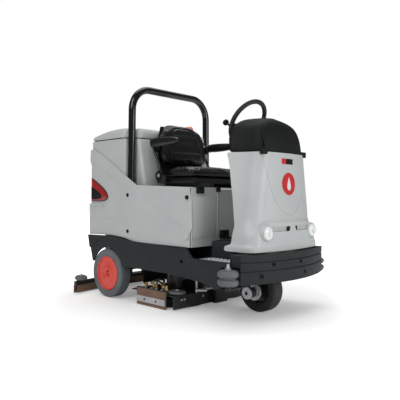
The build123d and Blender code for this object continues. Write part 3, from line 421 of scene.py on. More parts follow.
# side panels: a thin shell with a raised shoulder that sweeps down to the front
panel = {"wall": 0.0065, "raise": 0.0035, "grooveRadius": 0.0035}


def curvePoints(points, steps=6):
    # smooth line through a few points
    line = []
    count = len(points)
    for i in range(count - 1):
        p0 = Vector(points[max(i - 1, 0)])
        p1, p2 = Vector(points[i]), Vector(points[i + 1])
        p3 = Vector(points[min(i + 2, count - 1)])
        for k in range(steps):
            t = k / steps
            line.append(tuple(0.5 * (2 * p1 + (p2 - p0) * t + (2 * p0 - 5 * p1 + 4 * p2 - p3) * t * t
                                     + (3 * p1 - p0 - 3 * p2 + p3) * t ** 3)))
    line.append(tuple(points[-1]))
    return line


def sidePanels():
    low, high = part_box("side_panel_left")
    outer, inner = high.x, low.x
    rear, front, sill = high.y, low.y + 0.018, low.z
    tankFront = front + 0.505
    wheelY = (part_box("rear_tyre_left")[0].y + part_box("rear_tyre_left")[1].y) / 2
    slope = curvePoints([(rear - 0.01, sill + 0.632), (rear - 0.055, sill + 0.634), (rear - 0.2, sill + 0.566),
                         (tankFront + 0.182, sill + 0.478), (tankFront + 0.07, sill + 0.416),
                         (tankFront - 0.002, sill + 0.376)], 4)
    foot = curvePoints([(front, sill), (tankFront - 0.02, sill), (tankFront + 0.111, sill + 0.019),
                        (wheelY - 0.022, sill + 0.03), (rear, sill + 0.023)], 4)
    back = [(rear, sill + 0.228), (rear - 0.022, sill + 0.244), (rear - 0.024, sill + 0.52),
            (rear - 0.006, sill + 0.56)]
    nose = [(front + 0.007, sill + 0.36), (front - 0.010, sill + 0.26), (front - 0.018, sill + 0.119),
            (front, sill + 0.094)]
    crease = curvePoints([(tankFront - 0.012, sill + 0.340), (tankFront - 0.115, sill + 0.268),
                          (tankFront - 0.21, sill + 0.206), (tankFront - 0.355, sill + 0.148),
                          (tankFront - 0.497, sill + 0.112)], 5)
    for side, name in ((1, "left"), (-1, "right")):
        bm = bmesh.new()
        face = sideOutline(bm, foot + back + slope + nose, inner)
        thicken(bm, face, (panel["wall"] - panel["raise"] + outer - inner - panel["wall"], 0, 0))
        bmesh.ops.recalc_face_normals(bm, faces=bm.faces)
        skin = outer - panel["raise"]
        edge = [e for e in bm.edges if all(abs(v.co.x - skin) < 1e-5 for v in e.verts)]
        roundEdges(bm, 0.003, 3, edge)
        # raised shoulder below the crease
        raised = sideOutline(bm, foot + back + slope[:-3] + [(tankFront + 0.06, sill + 0.398)] + crease
                             + [(front - 0.014, sill + 0.10), (front, sill + 0.09)], skin - 0.002)
        thicken(bm, raised, (panel["raise"] + 0.002, 0, 0))
        bmesh.ops.recalc_face_normals(bm, faces=bm.faces)
        edge = [e for e in bm.edges if all(abs(v.co.x - outer) < 1e-5 for v in e.verts)]
        roundEdges(bm, 0.0032, 4, edge)
        if side < 0:
            bmesh.ops.scale(bm, vec=(-1, 1, 1), verts=bm.verts)
        piece = keep(bm, f"sidePanel_{name}", "chassis", "body_plastic", angle=50)
        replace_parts(piece, f"side_panel_{name}")
        # shallow grooves and the pockets at the front fasteners
        lines = [
            curvePoints([(rear - 0.036, sill + 0.544), (rear - 0.15, sill + 0.492), (rear - 0.26, sill + 0.437),
                         (rear - 0.36, sill + 0.386)], 5),
            [(rear - 0.004, sill + 0.146), (rear - 0.30, sill + 0.146)],
        ]
        for count, line in enumerate(lines):
            cutter = tubeAlong([(side * (outer + 0.001), y, z) for y, z in line], panel["grooveRadius"], 10,
                               f"grooveCutter{count}")
            carve(piece, cutter)
        for z in (sill + 0.299, sill + 0.069):
            bm = bmesh.new()
            addCylinder(bm, (side * (outer - 0.004), front + 0.022, z), (side * (outer + 0.01), front + 0.022, z),
                        0.021, 40)
            carve(piece, plainPiece(bm, "pocketCutter"))
        piece.data.shade_smooth()
        piece.data.set_sharp_from_angle(angle=math.radians(50))


def tubeAlong(points, radius, segments, name):
    # round tube along a few points, as a plain piece
    bm = bmesh.new()
    rings = []
    points = [Vector(p) for p in points]
    for i, point in enumerate(points):
        along = (points[min(i + 1, len(points) - 1)] - points[max(i - 1, 0)]).normalized()
        turn = along.to_track_quat("Z", "Y").to_matrix().to_4x4()
        made = bmesh.ops.create_circle(bm, cap_ends=False, segments=segments, radius=radius,
                                       matrix=Matrix.Translation(point) @ turn)
        verts = made["verts"]
        rings.append([e for e in bm.edges if e.verts[0] in verts and e.verts[1] in verts])
    ends = (rings[0], rings[-1])
    for a, b in zip(rings, rings[1:]):
        bmesh.ops.bridge_loops(bm, edges=a + b)
    for ring in ends:
        bmesh.ops.holes_fill(bm, edges=ring, sides=segments + 1)
    return plainPiece(bm, name)


def routedTube(points, radius, name, body, finish, segments=14, steps=6):
    piece = tubeAlong(curvePoints(points, steps), radius, segments, name)
    piece.data.materials.append(finishes[finish])
    piece.data.shade_smooth()
    piece.data.set_sharp_from_angle(angle=math.radians(50))
    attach(piece, body)
    return piece


sidePanels()
print("side panels done")

# black turn fasteners in the panels
fastener = {"radius": 0.0125, "proud": 0.004}


def panelFasteners():
    panelLow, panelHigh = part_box("side_panel_left")
    front = panelLow.y + 0.018
    tankFront = front + 0.505
    sill = panelLow.z
    places = [(tankFront + 0.085, sill + 0.31), (tankFront + 0.083, sill + 0.067),
              (front + 0.024, sill + 0.299), (front + 0.022, sill + 0.069)]
    bm = bmesh.new()
    for side in (-1, 1):
        for y, z in places:
            x = side * panelHigh.x
            addCylinder(bm, (x - side * 0.008, y, z), (x + side * fastener["proud"], y, z), fastener["radius"], 28)
    roundEdges(bm, 0.0015, 2, minAngle=60)
    piece = keep(bm, "turnFasteners", "chassis", "cap_plastic")
    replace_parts(piece, "panel_fasteners")


panelFasteners()

# recovery tank and its domed lid; both are cut back round the hoop guard


def roundedLoop(bm, corners, radius, z, steps=6, between=0):
    # a closed loop whose corners, turning either way, are rounded to a radius
    verts = []
    count = len(corners)
    for k in range(count):
        before, at, after = (Vector(corners[(k + d) % count]) for d in (-1, 0, 1))
        into, out = (at - before).normalized(), (after - at).normalized()
        turn = into.x * out.y - into.y * out.x
        r = radius(turn > 0)
        if r < 1e-6 or abs(turn) < 1e-6:
            verts += [bm.verts.new((at.x, at.y, z)) for step in range(steps + 1)]
            continue
        centre = at - into * r + out * r
        for step in range(steps + 1):
            t = math.pi / 2 * step / steps
            place = centre - out * r * math.cos(t) + into * r * math.sin(t)
            verts.append(bm.verts.new((place.x, place.y, z)))
        start = verts[-1].co.xy
        end = after - out * radius(True)
        for step in range(1, between + 1):
            place = start.lerp(end, step / (between + 1))
            verts.append(bm.verts.new((place.x, place.y, z)))
    return verts


def planCorners(front, notch, rear, narrow, wide, inset):
    f, n, r = front + inset, notch + inset, rear - inset
    a, w = narrow - inset, wide - inset
    return [(-a, f), (a, f), (a, n), (w, n), (w, r), (-w, r), (-w, n), (-a, n)]


def skinLoops(bm, loops, capLow=True, capHigh=True):
    for a, b in zip(loops, loops[1:]):
        for k in range(len(a)):
            n = (k + 1) % len(a)
            quad = [a[k], a[n], b[n], b[k]]
            if (a[k].co - a[n].co).length > 1e-6 or (b[k].co - b[n].co).length > 1e-6:
                bm.faces.new(quad)
    if capLow:
        bm.faces.new(loops[0][::-1])
    if capHigh:
        bm.faces.new(loops[-1])


def tankPlan():
    # the boxes take in the hinge knuckles, which stand 11 mm above and behind the tank
    low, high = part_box("recovery_tank")
    high = high - Vector((0, 0.011, 0.011))
    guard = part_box("hoop_guard")[1]
    return low, high, guard.y + 0.006, guard.x - 0.065


tankDims = {"round": 0.022, "lean": 0.067, "rim": 0.010, "fall": 0.62}


def recoveryTank():
    low, high, notch, narrow = tankPlan()
    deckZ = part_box("seat_deck")[1].z
    bm = bmesh.new()
    rise = high.z - deckZ
    levels = [(low.z, 0.0), (low.z + 0.01, 0.0), (deckZ, 0.0)]
    levels += [(deckZ + rise * k / 4, tankDims["lean"] * k / 4) for k in (1, 2, 3)]
    levels += [(high.z - 0.004, tankDims["lean"]), (high.z - 0.001, tankDims["lean"] + 0.002)]
    loops = []
    for z, lean in levels:
        corners = planCorners(low.y + lean, notch, high.y, narrow, high.x, 0)
        loops.append(roundedLoop(bm, corners, lambda outward: tankDims["round"], z))
    for z in (high.z, high.z - 0.2, low.z + 0.05):
        lean = tankDims["lean"] * max(0.0, (z - deckZ) / rise)
        corners = planCorners(low.y + lean, notch, high.y, narrow, high.x, tankDims["rim"])
        loops.append(roundedLoop(bm, corners, lambda outward: tankDims["round"] - (0.008 if outward else 0.0), z))
    skinLoops(bm, loops)
    piece = keep(bm, "recoveryTankShell", "chassis", "body_plastic", angle=40)
    evenNormals(piece)
    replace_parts(piece, "recovery_tank")


def tankLid():
    low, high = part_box("tank_lid")
    low.z, high.y = high.z - 0.080, high.y - 0.005
    notch, narrow = tankPlan()[2:]
    front, rear, wide = low.y + 0.002, high.y, high.x
    shape = [(0.006, 0.0), (0.002, 0.002), (0.0, 0.006), (0.0, 0.024), (0.001, 0.032), (0.004, 0.041), (0.009, 0.049),
             (0.017, 0.057), (0.029, 0.064), (0.047, 0.070), (0.072, 0.0745), (0.105, 0.077), (0.145, 0.078)]
    bm = bmesh.new()
    loops = []
    for inset, rise in shape:
        corners = planCorners(front, notch, rear, narrow, wide, inset)
        turn = lambda outward: max(0.006, 0.040 - inset) if outward else 0.020 + inset * 0.4
        loops.append(roundedLoop(bm, corners, turn, low.z + rise, between=7))
    skinLoops(bm, loops, capHigh=False)
    # the crown is closed with rows across so that it can fall away smoothly
    last = loops[-1]
    bm.faces.new(last)
    bm.faces.ensure_lookup_table()
    roof = bm.faces[-1]
    bmesh.ops.triangulate(bm, faces=[roof])
    for v in bm.verts:
        run = max(0.0, (v.co.y - (rear - 0.27)) / 0.27)
        v.co.z = low.z + (v.co.z - low.z) * (1 - tankDims["fall"] * run * run)
    piece = keep(bm, "tankLidShell", "lid", "body_plastic", angle=60)
    evenNormals(piece)
    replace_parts(piece, "tank_lid")
    # dark seal between tank and lid
    bm = bmesh.new()
    loops = []
    for z in (low.z - 0.0055, low.z - 0.0003):
        corners = planCorners(front, notch, rear, narrow, wide, 0.008)
        loops.append(roundedLoop(bm, corners, lambda outward: 0.035 if outward else 0.02, z))
    skinLoops(bm, loops)
    keep(bm, "lidSeal", "lid", "seam", smooth=False)


recoveryTank()
tankLid()
print("tank and lid done")

# front cowl: rings from foot to top; the brow stands proud over the lamps
cowl = {"corner": 0.085, "brow": 0.572, "browDepth": 0.017, "wall": 0.005}
cowlRings = [  # height, half width, spread at the rear, front offset, depth
    (0.400, 0.350, 0.0, -0.010, 0.190), (0.424, 0.350, 0.0, -0.010, 0.190), (0.431, 0.347, 0.0, -0.011, 0.180),
    (0.436, 0.339, 0.0, -0.011, 0.158), (0.444, 0.334, 0.0, -0.011, 0.151), (0.470, 0.332, 0.0, -0.011, 0.149),
    (0.490, 0.329, 0.0005, -0.010, 0.147), (0.510, 0.325, 0.001, -0.009, 0.143),
    (0.530, 0.319, 0.0015, -0.007, 0.138), (0.545, 0.315, 0.0019, -0.005, 0.136), (0.556, 0.310, 0.0033, -0.003, 0.137),
    (0.564, 0.308, 0.005, -0.002, 0.138), (0.570, 0.306, 0.0062, -0.001, 0.138),
    (0.576, 0.304, 0.0075, 0.0, 0.139), (0.583, 0.302, 0.009, 0.0, 0.140),
    (0.60, 0.299, 0.011, 0.0, 0.142), (0.64, 0.292, 0.0158, 0.0, 0.148), (0.70, 0.282, 0.023, 0.0, 0.156),
    (0.76, 0.272, 0.0313, 0.0, 0.166), (0.83, 0.260, 0.041, 0.0, 0.178), (0.90, 0.249, 0.0453, 0.0, 0.191),
    (0.94, 0.243, 0.0541, 0.0, 0.201), (0.967, 0.240, 0.06, 0.0, 0.212)]


def shellRing(bm, z, half, spread, front, depth, corner, bulge, sideSteps=5, cornerSteps=7, frontSteps=24):
    # an open ring round the nose, from the driver's side of one flank to the other
    points = []
    rear = front + depth
    for k in range(sideSteps):
        t = k / sideSteps
        points.append((-half - spread * (1 - t) ** 1.4, rear + (front + corner - rear) * t))
    for k in range(cornerSteps):
        t = math.pi / 2 * k / cornerSteps
        points.append((-half + corner * (1 - math.cos(t)), front + corner * (1 - math.sin(t))))
    inner = half - corner
    for k in range(frontSteps + 1):
        x = -inner + 2 * inner * k / frontSteps
        points.append((x, front - bulge * (1 - (x / inner) ** 2)))
    right = [(-x, y) for x, y in points[:sideSteps + cornerSteps]][::-1]
    verts = [bm.verts.new((x, y, z)) for x, y in points + right]
    return [bm.edges.new(pair) for pair in zip(verts, verts[1:])]


def faceBulge(z):
    # the face is rounder in plan towards its foot
    return 0.014 + 0.013 * min(1.0, max(0.0, (0.92 - z) / 0.3))


def frontCowl():
    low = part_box("front_cowl")[0]
    face = low.y + 0.044
    bm = bmesh.new()
    rings = []
    for z, half, spread, offset, depth in cowlRings:
        rings.append(shellRing(bm, z, half, spread, face + offset, depth, cowl["corner"], faceBulge(z)))
    for a, b in zip(rings, rings[1:]):
        bmesh.ops.bridge_loops(bm, edges=a + b)
    bm.normal_update()
    frontFace = face
    for v in bm.verts:
        # brow: everything below its line stands proud of the shield above
        x = abs(v.co.x)
        browZ = cowl["brow"] - 0.058 * min(1.0, max(0.0, (x - 0.205) / 0.11))
        lift = min(1.0, max(0.0, (browZ - v.co.z) / 0.009))
        lift = lift * lift * (3 - 2 * lift)
        reach = max(0.0, 1 - max(0.0, v.co.y - frontFace) / 0.12)
        v.co.y -= cowl["browDepth"] * lift * reach
        if x > 0.2:
            v.co.x += math.copysign(0.006 * lift * reach, v.co.x)
    bmesh.ops.recalc_face_normals(bm, faces=bm.faces)
    middle = [f for f in bm.faces if abs(f.calc_center_median().x) < 0.02 and f.normal.y > 0]
    if middle:
        bmesh.ops.reverse_faces(bm, faces=bm.faces)
    piece = keep(bm, "cowlShell", "chassis", "body_plastic", angle=60, normals=False)
    smooth = piece.modifiers.new("smooth", "SUBSURF")
    smooth.levels = smooth.render_levels = 1
    wall = piece.modifiers.new("wall", "SOLIDIFY")
    wall.thickness = cowl["wall"]
    wall.offset = -1
    bake(piece)
    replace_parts(piece, "front_cowl")
    return piece


cowlShell = frontCowl()
print("cowl done")
# black cap over the cowl, domed, with a slit at its front corner
cap = {"corner": 0.07, "bulge": 0.012, "wall": 0.004}
capRings = [  # height above the cowl, half width, spread at the rear, front offset, depth
    (0.002, 0.222, 0.054, 0.008, 0.200), (0.030, 0.221, 0.053, 0.009, 0.203), (0.060, 0.217, 0.050, 0.011, 0.208),
    (0.090, 0.211, 0.048, 0.015, 0.212), (0.115, 0.205, 0.044, 0.020, 0.208), (0.140, 0.196, 0.040, 0.027, 0.199),
    (0.160, 0.184, 0.038, 0.036, 0.186), (0.178, 0.166, 0.036, 0.048, 0.168), (0.193, 0.142, 0.032, 0.064, 0.148),
    (0.206, 0.110, 0.026, 0.082, 0.128), (0.216, 0.074, 0.018, 0.100, 0.108), (0.2215, 0.036, 0.008, 0.118, 0.090)]


def dashCap():
    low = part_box("dash_cap")[0]
    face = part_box("front_cowl")[0].y + 0.044
    base = low.z - 0.002
    bm = bmesh.new()
    rings = []
    for rise, half, spread, offset, depth in capRings:
        corner = min(cap["corner"], half * 0.9, depth * 0.8)
        rings.append(shellRing(bm, base + rise, half, spread, face + offset, depth, corner,
                               cap["bulge"] * half / 0.222))
    for a, b in zip(rings, rings[1:]):
        bmesh.ops.bridge_loops(bm, edges=a + b)
    bmesh.ops.contextual_create(bm, geom=rings[-1])
    bmesh.ops.recalc_face_normals(bm, faces=bm.faces)
    topFace = max(bm.faces, key=lambda f: f.calc_center_median().z)
    if topFace.normal.z < 0:
        bmesh.ops.reverse_faces(bm, faces=bm.faces)
    piece = keep(bm, "dashCapShell", "chassis", "cap_plastic", angle=70, normals=False)
    smooth = piece.modifiers.new("smooth", "SUBSURF")
    smooth.levels = smooth.render_levels = 1
    wall = piece.modifiers.new("wall", "SOLIDIFY")
    wall.thickness = cap["wall"]
    wall.offset = -1
    bake(piece)
    for side in (-1, 1):
        cutter = bmesh.new()
        x = side * 0.190
        verts = [cutter.verts.new(p) for p in ((x - 0.004, face - 0.03, base + 0.03), (x + 0.004, face - 0.03, base + 0.03),
                                               (x + 0.0004, face - 0.03, base + 0.128))]
        slit = cutter.faces.new(verts)
        thicken(cutter, slit, (0, 0.085, 0))
        carve(piece, plainPiece(cutter, "slitCutter"))
    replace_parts(piece, "dash_cap")
    # tabs where the cap hooks over the cowl
    bm = bmesh.new()
    for side in (-1, 1):
        addBlock(bm, (side * 0.196 - 0.026, face + 0.004, base - 0.014), (side * 0.196 + 0.026, face + 0.03, base + 0.02))
    roundEdges(bm, 0.003, 3)
    keep(bm, "capTabs", "chassis", "cap_plastic")


dashCap()
print("cap done")

# shield line, round badge and plate on the cowl, all plain marks
badge = {"radius": 0.066}


def cowlFront(x, z):
    # how far forward the cowl's face is at this place
    hit, point, _, _ = cowlShell.ray_cast(Vector((x, -2.0, z)), Vector((0, 1, 0)))
    return point.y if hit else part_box("front_cowl")[0].y + 0.04


def onCowl(points, lift):
    return [(x, cowlFront(x, z) - lift, z) for x, z in points]


def pressOnCowl(piece, lift):
    # lays a flat piece on the curved face
    for v in piece.data.vertices:
        depth = v.co.y
        v.co.y = cowlFront(v.co.x, v.co.z) - lift + depth


def flatMark(name, outline, finish, lift, thick=0.0012):
    # a thin mark cut to an outline of (x, z) points, pressed on the cowl
    bm = bmesh.new()
    centre = (sum(p[0] for p in outline) / len(outline), sum(p[1] for p in outline) / len(outline))
    rings = []
    for share in (1.0, 0.75, 0.5, 0.25):
        rings.append([bm.verts.new((centre[0] + (x - centre[0]) * share, 0, centre[1] + (z - centre[1]) * share))
                      for x, z in outline])
    skinLoops(bm, rings, capLow=False)
    made = bmesh.ops.extrude_face_region(bm, geom=bm.faces[:])["geom"]
    bmesh.ops.translate(bm, verts=[v for v in made if isinstance(v, bmesh.types.BMVert)], vec=(0, thick, 0))
    pressOnCowl(keep(bm, name, "chassis", finish, angle=40), lift)


def cowlMarks():
    centreZ = 0.786
    disc = [(badge["radius"] * math.sin(math.tau * k / 64), centreZ + badge["radius"] * math.cos(math.tau * k / 64))
            for k in range(64)]
    flatMark("badgeDisc", disc, "markRed", 0.0015)
    drop = [(0.026 * math.sin(t) * math.sin(t / 2) ** 1.5, centreZ + 0.002 + 0.040 * math.cos(t))
            for t in (math.tau * k / 48 for k in range(48))]
    flatMark("badgeDrop", drop, "markWhite", 0.0023)
    for name, x0, x1, finish, slot in (("plateRed", -0.064, -0.026, "markRed", "red_button"),
                                       ("plateDark", -0.024, 0.045, "cap_plastic", "cap_plastic")):
        edge = [(x0 + (x1 - x0) * k / 6, 0.902) for k in range(6)] + [(x1, 0.902 + 0.032 * k / 4) for k in range(4)]
        edge += [(x1 - (x1 - x0) * k / 6, 0.934) for k in range(6)] + [(x0, 0.934 - 0.032 * k / 4) for k in range(4)]
        flatMark(name, edge, finish, 0.0018)


def shieldGroove():
    half = [(0.216, 0.966), (0.199, 0.89), (0.178, 0.805), (0.149, 0.730), (0.119, 0.675), (0.084, 0.635), (0.045, 0.611),
            (0, 0.603)]
    line = [(-x, z, 0) for x, z in half] + [(x, z, 0) for x, z in half[-2::-1]]
    smooth = [(x, z) for x, z, _ in curvePoints(line, 5)]
    cutter = tubeAlong(onCowl(smooth, 0.0004), 0.0028, 8, "shieldCutter")
    carve(cowlShell, cutter)
    cowlShell.data.shade_smooth()
    cowlShell.data.set_sharp_from_angle(angle=math.radians(55))


# head lamps in round pods, and a slot that runs inwards from each
lampDims = {"radius": 0.040}


def headLamps():
    low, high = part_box("head_lamps")
    z = (low.z + high.z) / 2
    x = high.x - 0.040
    for side in (-1, 1):
        y = cowlFront(side * (x - 0.01), z)
        cutterBm = bmesh.new()
        inner, outer = sorted((side * 0.030, side * (x - 0.030)))
        addBlock(cutterBm, (inner, y - 0.05, z + 0.006), (outer, y + 0.03, z + 0.034))
        roundEdges(cutterBm, 0.011, 4, [e for e in cutterBm.edges if abs(e.verts[0].co.y - e.verts[1].co.y) > 0.03])
        carve(cowlShell, plainPiece(cutterBm, "lampSlotCutter"))
        tray = bmesh.new()
        depths = [cowlFront(side * (0.02 + 0.035 * k), z - 0.012) + 0.014 for k in range(6)]
        verts = [tray.verts.new((side * (0.02 + 0.035 * k), depths[k], zz)) for zz in (z - 0.004, z + 0.044)
                 for k in range(6)]
        for k in range(5):
            tray.faces.new([verts[k], verts[k + 1], verts[k + 7], verts[k + 6]])
        keep(tray, "slotTray_" + ("left" if side > 0 else "right"), "chassis", "body_plastic")
        plug = bmesh.new()
        near, far = sorted((side * 0.026, side * 0.046))
        deep = cowlFront(side * 0.036, z - 0.012)
        addBlock(plug, (near, deep + 0.002, z + 0.005), (far, deep + 0.016, z + 0.035))
        roundEdges(plug, 0.003, 3)
        keep(plug, "slotPlug_" + ("left" if side > 0 else "right"), "chassis", "cap_plastic")
        name = "left" if side > 0 else "right"
        bm = bmesh.new()
        front = y - 0.012
        bmesh.ops.create_circle(bm, cap_ends=True, segments=48, radius=lampDims["radius"],
                                matrix=Matrix.Translation((side * x, y + 0.03, z)) @ Matrix.Rotation(math.pi / 2, 4, "X"))
        thicken(bm, bm.faces[:][0], (0, front - y - 0.03, 0))
        bmesh.ops.recalc_face_normals(bm, faces=bm.faces)
        lens = min((f for f in bm.faces if len(f.verts) > 4), key=lambda f: f.calc_center_median().y)
        for inset, move in ((0.003, -0.003), (0.006, -0.003), (0.008, -0.002), (0.009, -0.0005), (0.004, 0.004),
                            (0.002, 0.002)):
            bmesh.ops.inset_region(bm, faces=[lens], thickness=inset)
            bmesh.ops.translate(bm, verts=lens.verts, vec=(0, move, 0))
        keep(bm, f"headLamp_{name}", "chassis", "clear_lens", angle=50)
        bm = bmesh.new()
        profile = [(0.0405, 0.0), (0.0405, -0.006), (0.0435, -0.009), (0.0475, -0.004), (0.050, 0.02)]
        verts = [bm.verts.new((side * x + r, y + d, z)) for r, d in profile]
        edges = [bm.edges.new(pair) for pair in zip(verts, verts[1:])]
        bmesh.ops.spin(bm, geom=verts + edges, cent=(side * x, y, z), axis=(0, 1, 0), angle=math.tau, steps=48,
                       use_merge=True)
        bmesh.ops.remove_doubles(bm, verts=bm.verts, dist=1e-5)
        keep(bm, f"lampPod_{name}", "chassis", "body_plastic", angle=50)
    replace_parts(bpy.data.objects["headLamp_right"], "head_lamps")


shieldGroove()
headLamps()
cowlMarks()
print("cowl details done")

# wheels: tyres and hubs are spun profiles


def spunWheel(name, profile, centre, body, finish, steps=96, angle=40):
    # profile points are (x, radius) about an axis along X
    bm = bmesh.new()
    cx, cy, cz = centre
    verts = [bm.verts.new((cx + x, cy, cz + r)) for x, r in profile]
    edges = [bm.edges.new((verts[i], verts[(i + 1) % len(verts)])) for i in range(len(verts))]
    bmesh.ops.spin(bm, geom=verts + edges, cent=centre, axis=(1, 0, 0), angle=math.tau, steps=steps, use_merge=True)
    bmesh.ops.remove_doubles(bm, verts=bm.verts, dist=1e-5)
    return keep(bm, name, body, finish, angle=angle)


def arcPoints(cx, cr, radius, startDeg, endDeg, steps):
    line = []
    for k in range(steps + 1):
        t = math.radians(startDeg + (endDeg - startDeg) * k / steps)
        line.append((cx + radius * math.cos(t), cr + radius * math.sin(t)))
    return line


def tyreProfile(half, radius, bore, shoulder):
    tread = arcPoints(half - shoulder, radius - shoulder, shoulder, 0, 90, 6)
    other = [(-x, r) for x, r in tread[::-1]]
    side = [(half - 0.002, bore + 0.004), (half, bore + 0.012), (half - 0.0015, bore + 0.018),
            (half, bore + 0.022)]
    return [(half - 0.006, bore)] + side + tread + other + [(-x, r) for x, r in side[::-1]] + [(-half + 0.006, bore)]


def rearWheels():
    for name, side in (("left", 1), ("right", -1)):
        low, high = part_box(f"rear_tyre_{name}")
        centre = (low + high) / 2
        half, radius = (high.x - low.x) / 2, (high.z - low.z) / 2
        bore = (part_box(f"rear_hub_{name}")[1].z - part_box(f"rear_hub_{name}")[0].z) / 2
        piece = spunWheel(f"rearTyre_{name}", tyreProfile(half, radius, bore, 0.012), centre, f"rear_wheel_{name}",
                          "grey_tyre")
        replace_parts(piece, f"rear_tyre_{name}")
        out = side * half
        hub = [(out - side * 0.002, bore - 0.001), (out - side * 0.004, bore - 0.006), (out - side * 0.012, bore - 0.010),
               (out - side * 0.013, 0.045), (out - side * 0.010, 0.036), (out - side * 0.009, 0.028),
               (out - side * 0.012, 0.020), (out - side * 0.028, 0.018), (out - side * 0.030, 0.006),
               (-out + side * 0.012, 0.006), (-out + side * 0.012, 0.06), (-out + side * 0.020, bore - 0.008),
               (-out + side * 0.010, bore - 0.001)]
        piece = spunWheel(f"rearHub_{name}", hub, centre, f"rear_wheel_{name}", "red_hub", angle=30)
        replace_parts(piece, f"rear_hub_{name}")
        bm = bmesh.new()
        face = centre.x + out - side * 0.013
        for k in range(5):
            t = math.tau * k / 5 + 0.4
            place = Vector((face, centre.y + 0.062 * math.cos(t), centre.z + 0.062 * math.sin(t)))
            addCylinder(bm, place, place + Vector((side * 0.002, 0, 0)), 0.006, 6)
        addCylinder(bm, (face - side * 0.014, centre.y, centre.z), (face - side * 0.004, centre.y, centre.z), 0.013, 6)
        keep(bm, f"hubBolts_{name}", f"rear_wheel_{name}", "red_hub", angle=30)


def driveWheel():
    low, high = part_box("drive_tyre")
    centre = (low + high) / 2
    half, radius = (high.x - low.x) / 2, (high.z - low.z) / 2
    bore = (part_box("drive_hub")[1].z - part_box("drive_hub")[0].z) / 2
    piece = spunWheel("driveTyre", tyreProfile(half, radius, bore, 0.016), centre, "drive_wheel", "black_tyre")
    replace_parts(piece, "drive_tyre")
    hub = [(half - 0.004, bore - 0.001), (half - 0.006, bore - 0.008), (half - 0.024, bore - 0.014),
           (half - 0.026, 0.042), (half - 0.004, 0.036), (half - 0.004, 0.0145), (-half + 0.004, 0.0145),
           (-half + 0.004, 0.036), (-half + 0.026, 0.042), (-half + 0.024, bore - 0.014), (-half + 0.006, bore - 0.008),
           (-half + 0.004, bore - 0.001)]
    piece = spunWheel("driveHub", hub, centre, "drive_wheel", "motor_case", angle=30)
    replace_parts(piece, "drive_hub")


rearWheels()
driveWheel()
print("wheels done")
# seat: crowned pads swollen by a cloth simulation, with sewn channels and piping
seatDims = {"voxel": 0.0055, "pressure": 4.0, "cap": 0.010, "channel": 0.0045, "piping": 0.0035}


def padForm(bm, centre, across, along, up, width, depth, thick, taper=0.0, crown=0.012, cuts=10):
    # a closed box with rounded corners whose faces are crowned; taper narrows it along its depth
    bmesh.ops.create_cube(bm, size=1)
    bmesh.ops.subdivide_edges(bm, edges=bm.edges[:], cuts=cuts, use_grid_fill=True)
    for v in bm.verts:
        u, w, h = v.co.x * 2, v.co.y * 2, v.co.z * 2
        # pull the corners in so the outline is rounded both in plan and section
        px = u * math.sqrt(max(0.0, 1 - 0.22 * w ** 6 - 0.10 * h ** 6))
        py = w * math.sqrt(max(0.0, 1 - 0.20 * u ** 6 - 0.16 * h ** 6))
        pz = h * math.sqrt(max(0.0, 1 - 0.42 * u ** 6 - 0.42 * w ** 6 + 0.2 * u ** 6 * w ** 6))
        half = width / 2 * (1 - taper * (py + 1) / 2)
        swell = crown * (1 - px * px) * (1 - py * py) * (1 if h > 0 else 0.2)
        v.co = centre + across * (px * half) + along * (py * depth / 2) + up * (pz * thick / 2 + swell * pz)


def swell(piece, cap, pressure):
    # cloth swollen by pressure from a remeshed copy, its movement capped
    mod = piece.modifiers.new("even", "REMESH")
    mod.mode = "VOXEL"
    mod.voxel_size = seatDims["voxel"]
    bake(piece)
    rest = [v.co.copy() for v in piece.data.vertices]
    cloth = piece.modifiers.new("swell", "CLOTH")
    cloth.settings.quality = 4
    cloth.settings.use_pressure = True
    cloth.settings.uniform_pressure_force = pressure
    cloth.settings.tension_stiffness = 30
    cloth.settings.compression_stiffness = 30
    cloth.settings.bending_stiffness = 0.6
    cloth.settings.effector_weights.gravity = 0
    cloth.point_cache.frame_start, cloth.point_cache.frame_end = 1, 20
    for step in range(1, 21):
        scene.frame_set(step)
    bake(piece)
    scene.frame_set(1)
    for v, start in zip(piece.data.vertices, rest):
        move = v.co - start
        if move.length > cap:
            v.co = start + move * (cap / move.length)
    piece.data.shade_smooth()


def pressChannels(piece, lines, depth, width, facing):
    # sewn channels: points near a line sink into the pad
    tree = []
    for line in lines:
        for a, b in zip(line, line[1:]):
            steps = max(2, int((Vector(b) - Vector(a)).length / 0.004))
            tree += [Vector(a).lerp(Vector(b), k / steps) for k in range(steps + 1)]
    near = kdtree.KDTree(len(tree))
    for k, place in enumerate(tree):
        near.insert(place - facing * place.dot(facing), k)
    near.balance()
    piece.data.update()
    for v in piece.data.vertices:
        if v.normal.dot(facing) < 0.35:
            continue
        distance = near.find(v.co - facing * v.co.dot(facing))[2]
        if distance < width * 2.5:
            v.co -= facing * depth * math.exp(-(distance / width) ** 2)


def finishPad(piece, node):
    soft = piece.modifiers.new("soft", "SUBSURF")
    soft.levels = soft.render_levels = 1
    if node:
        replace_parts(piece, node)


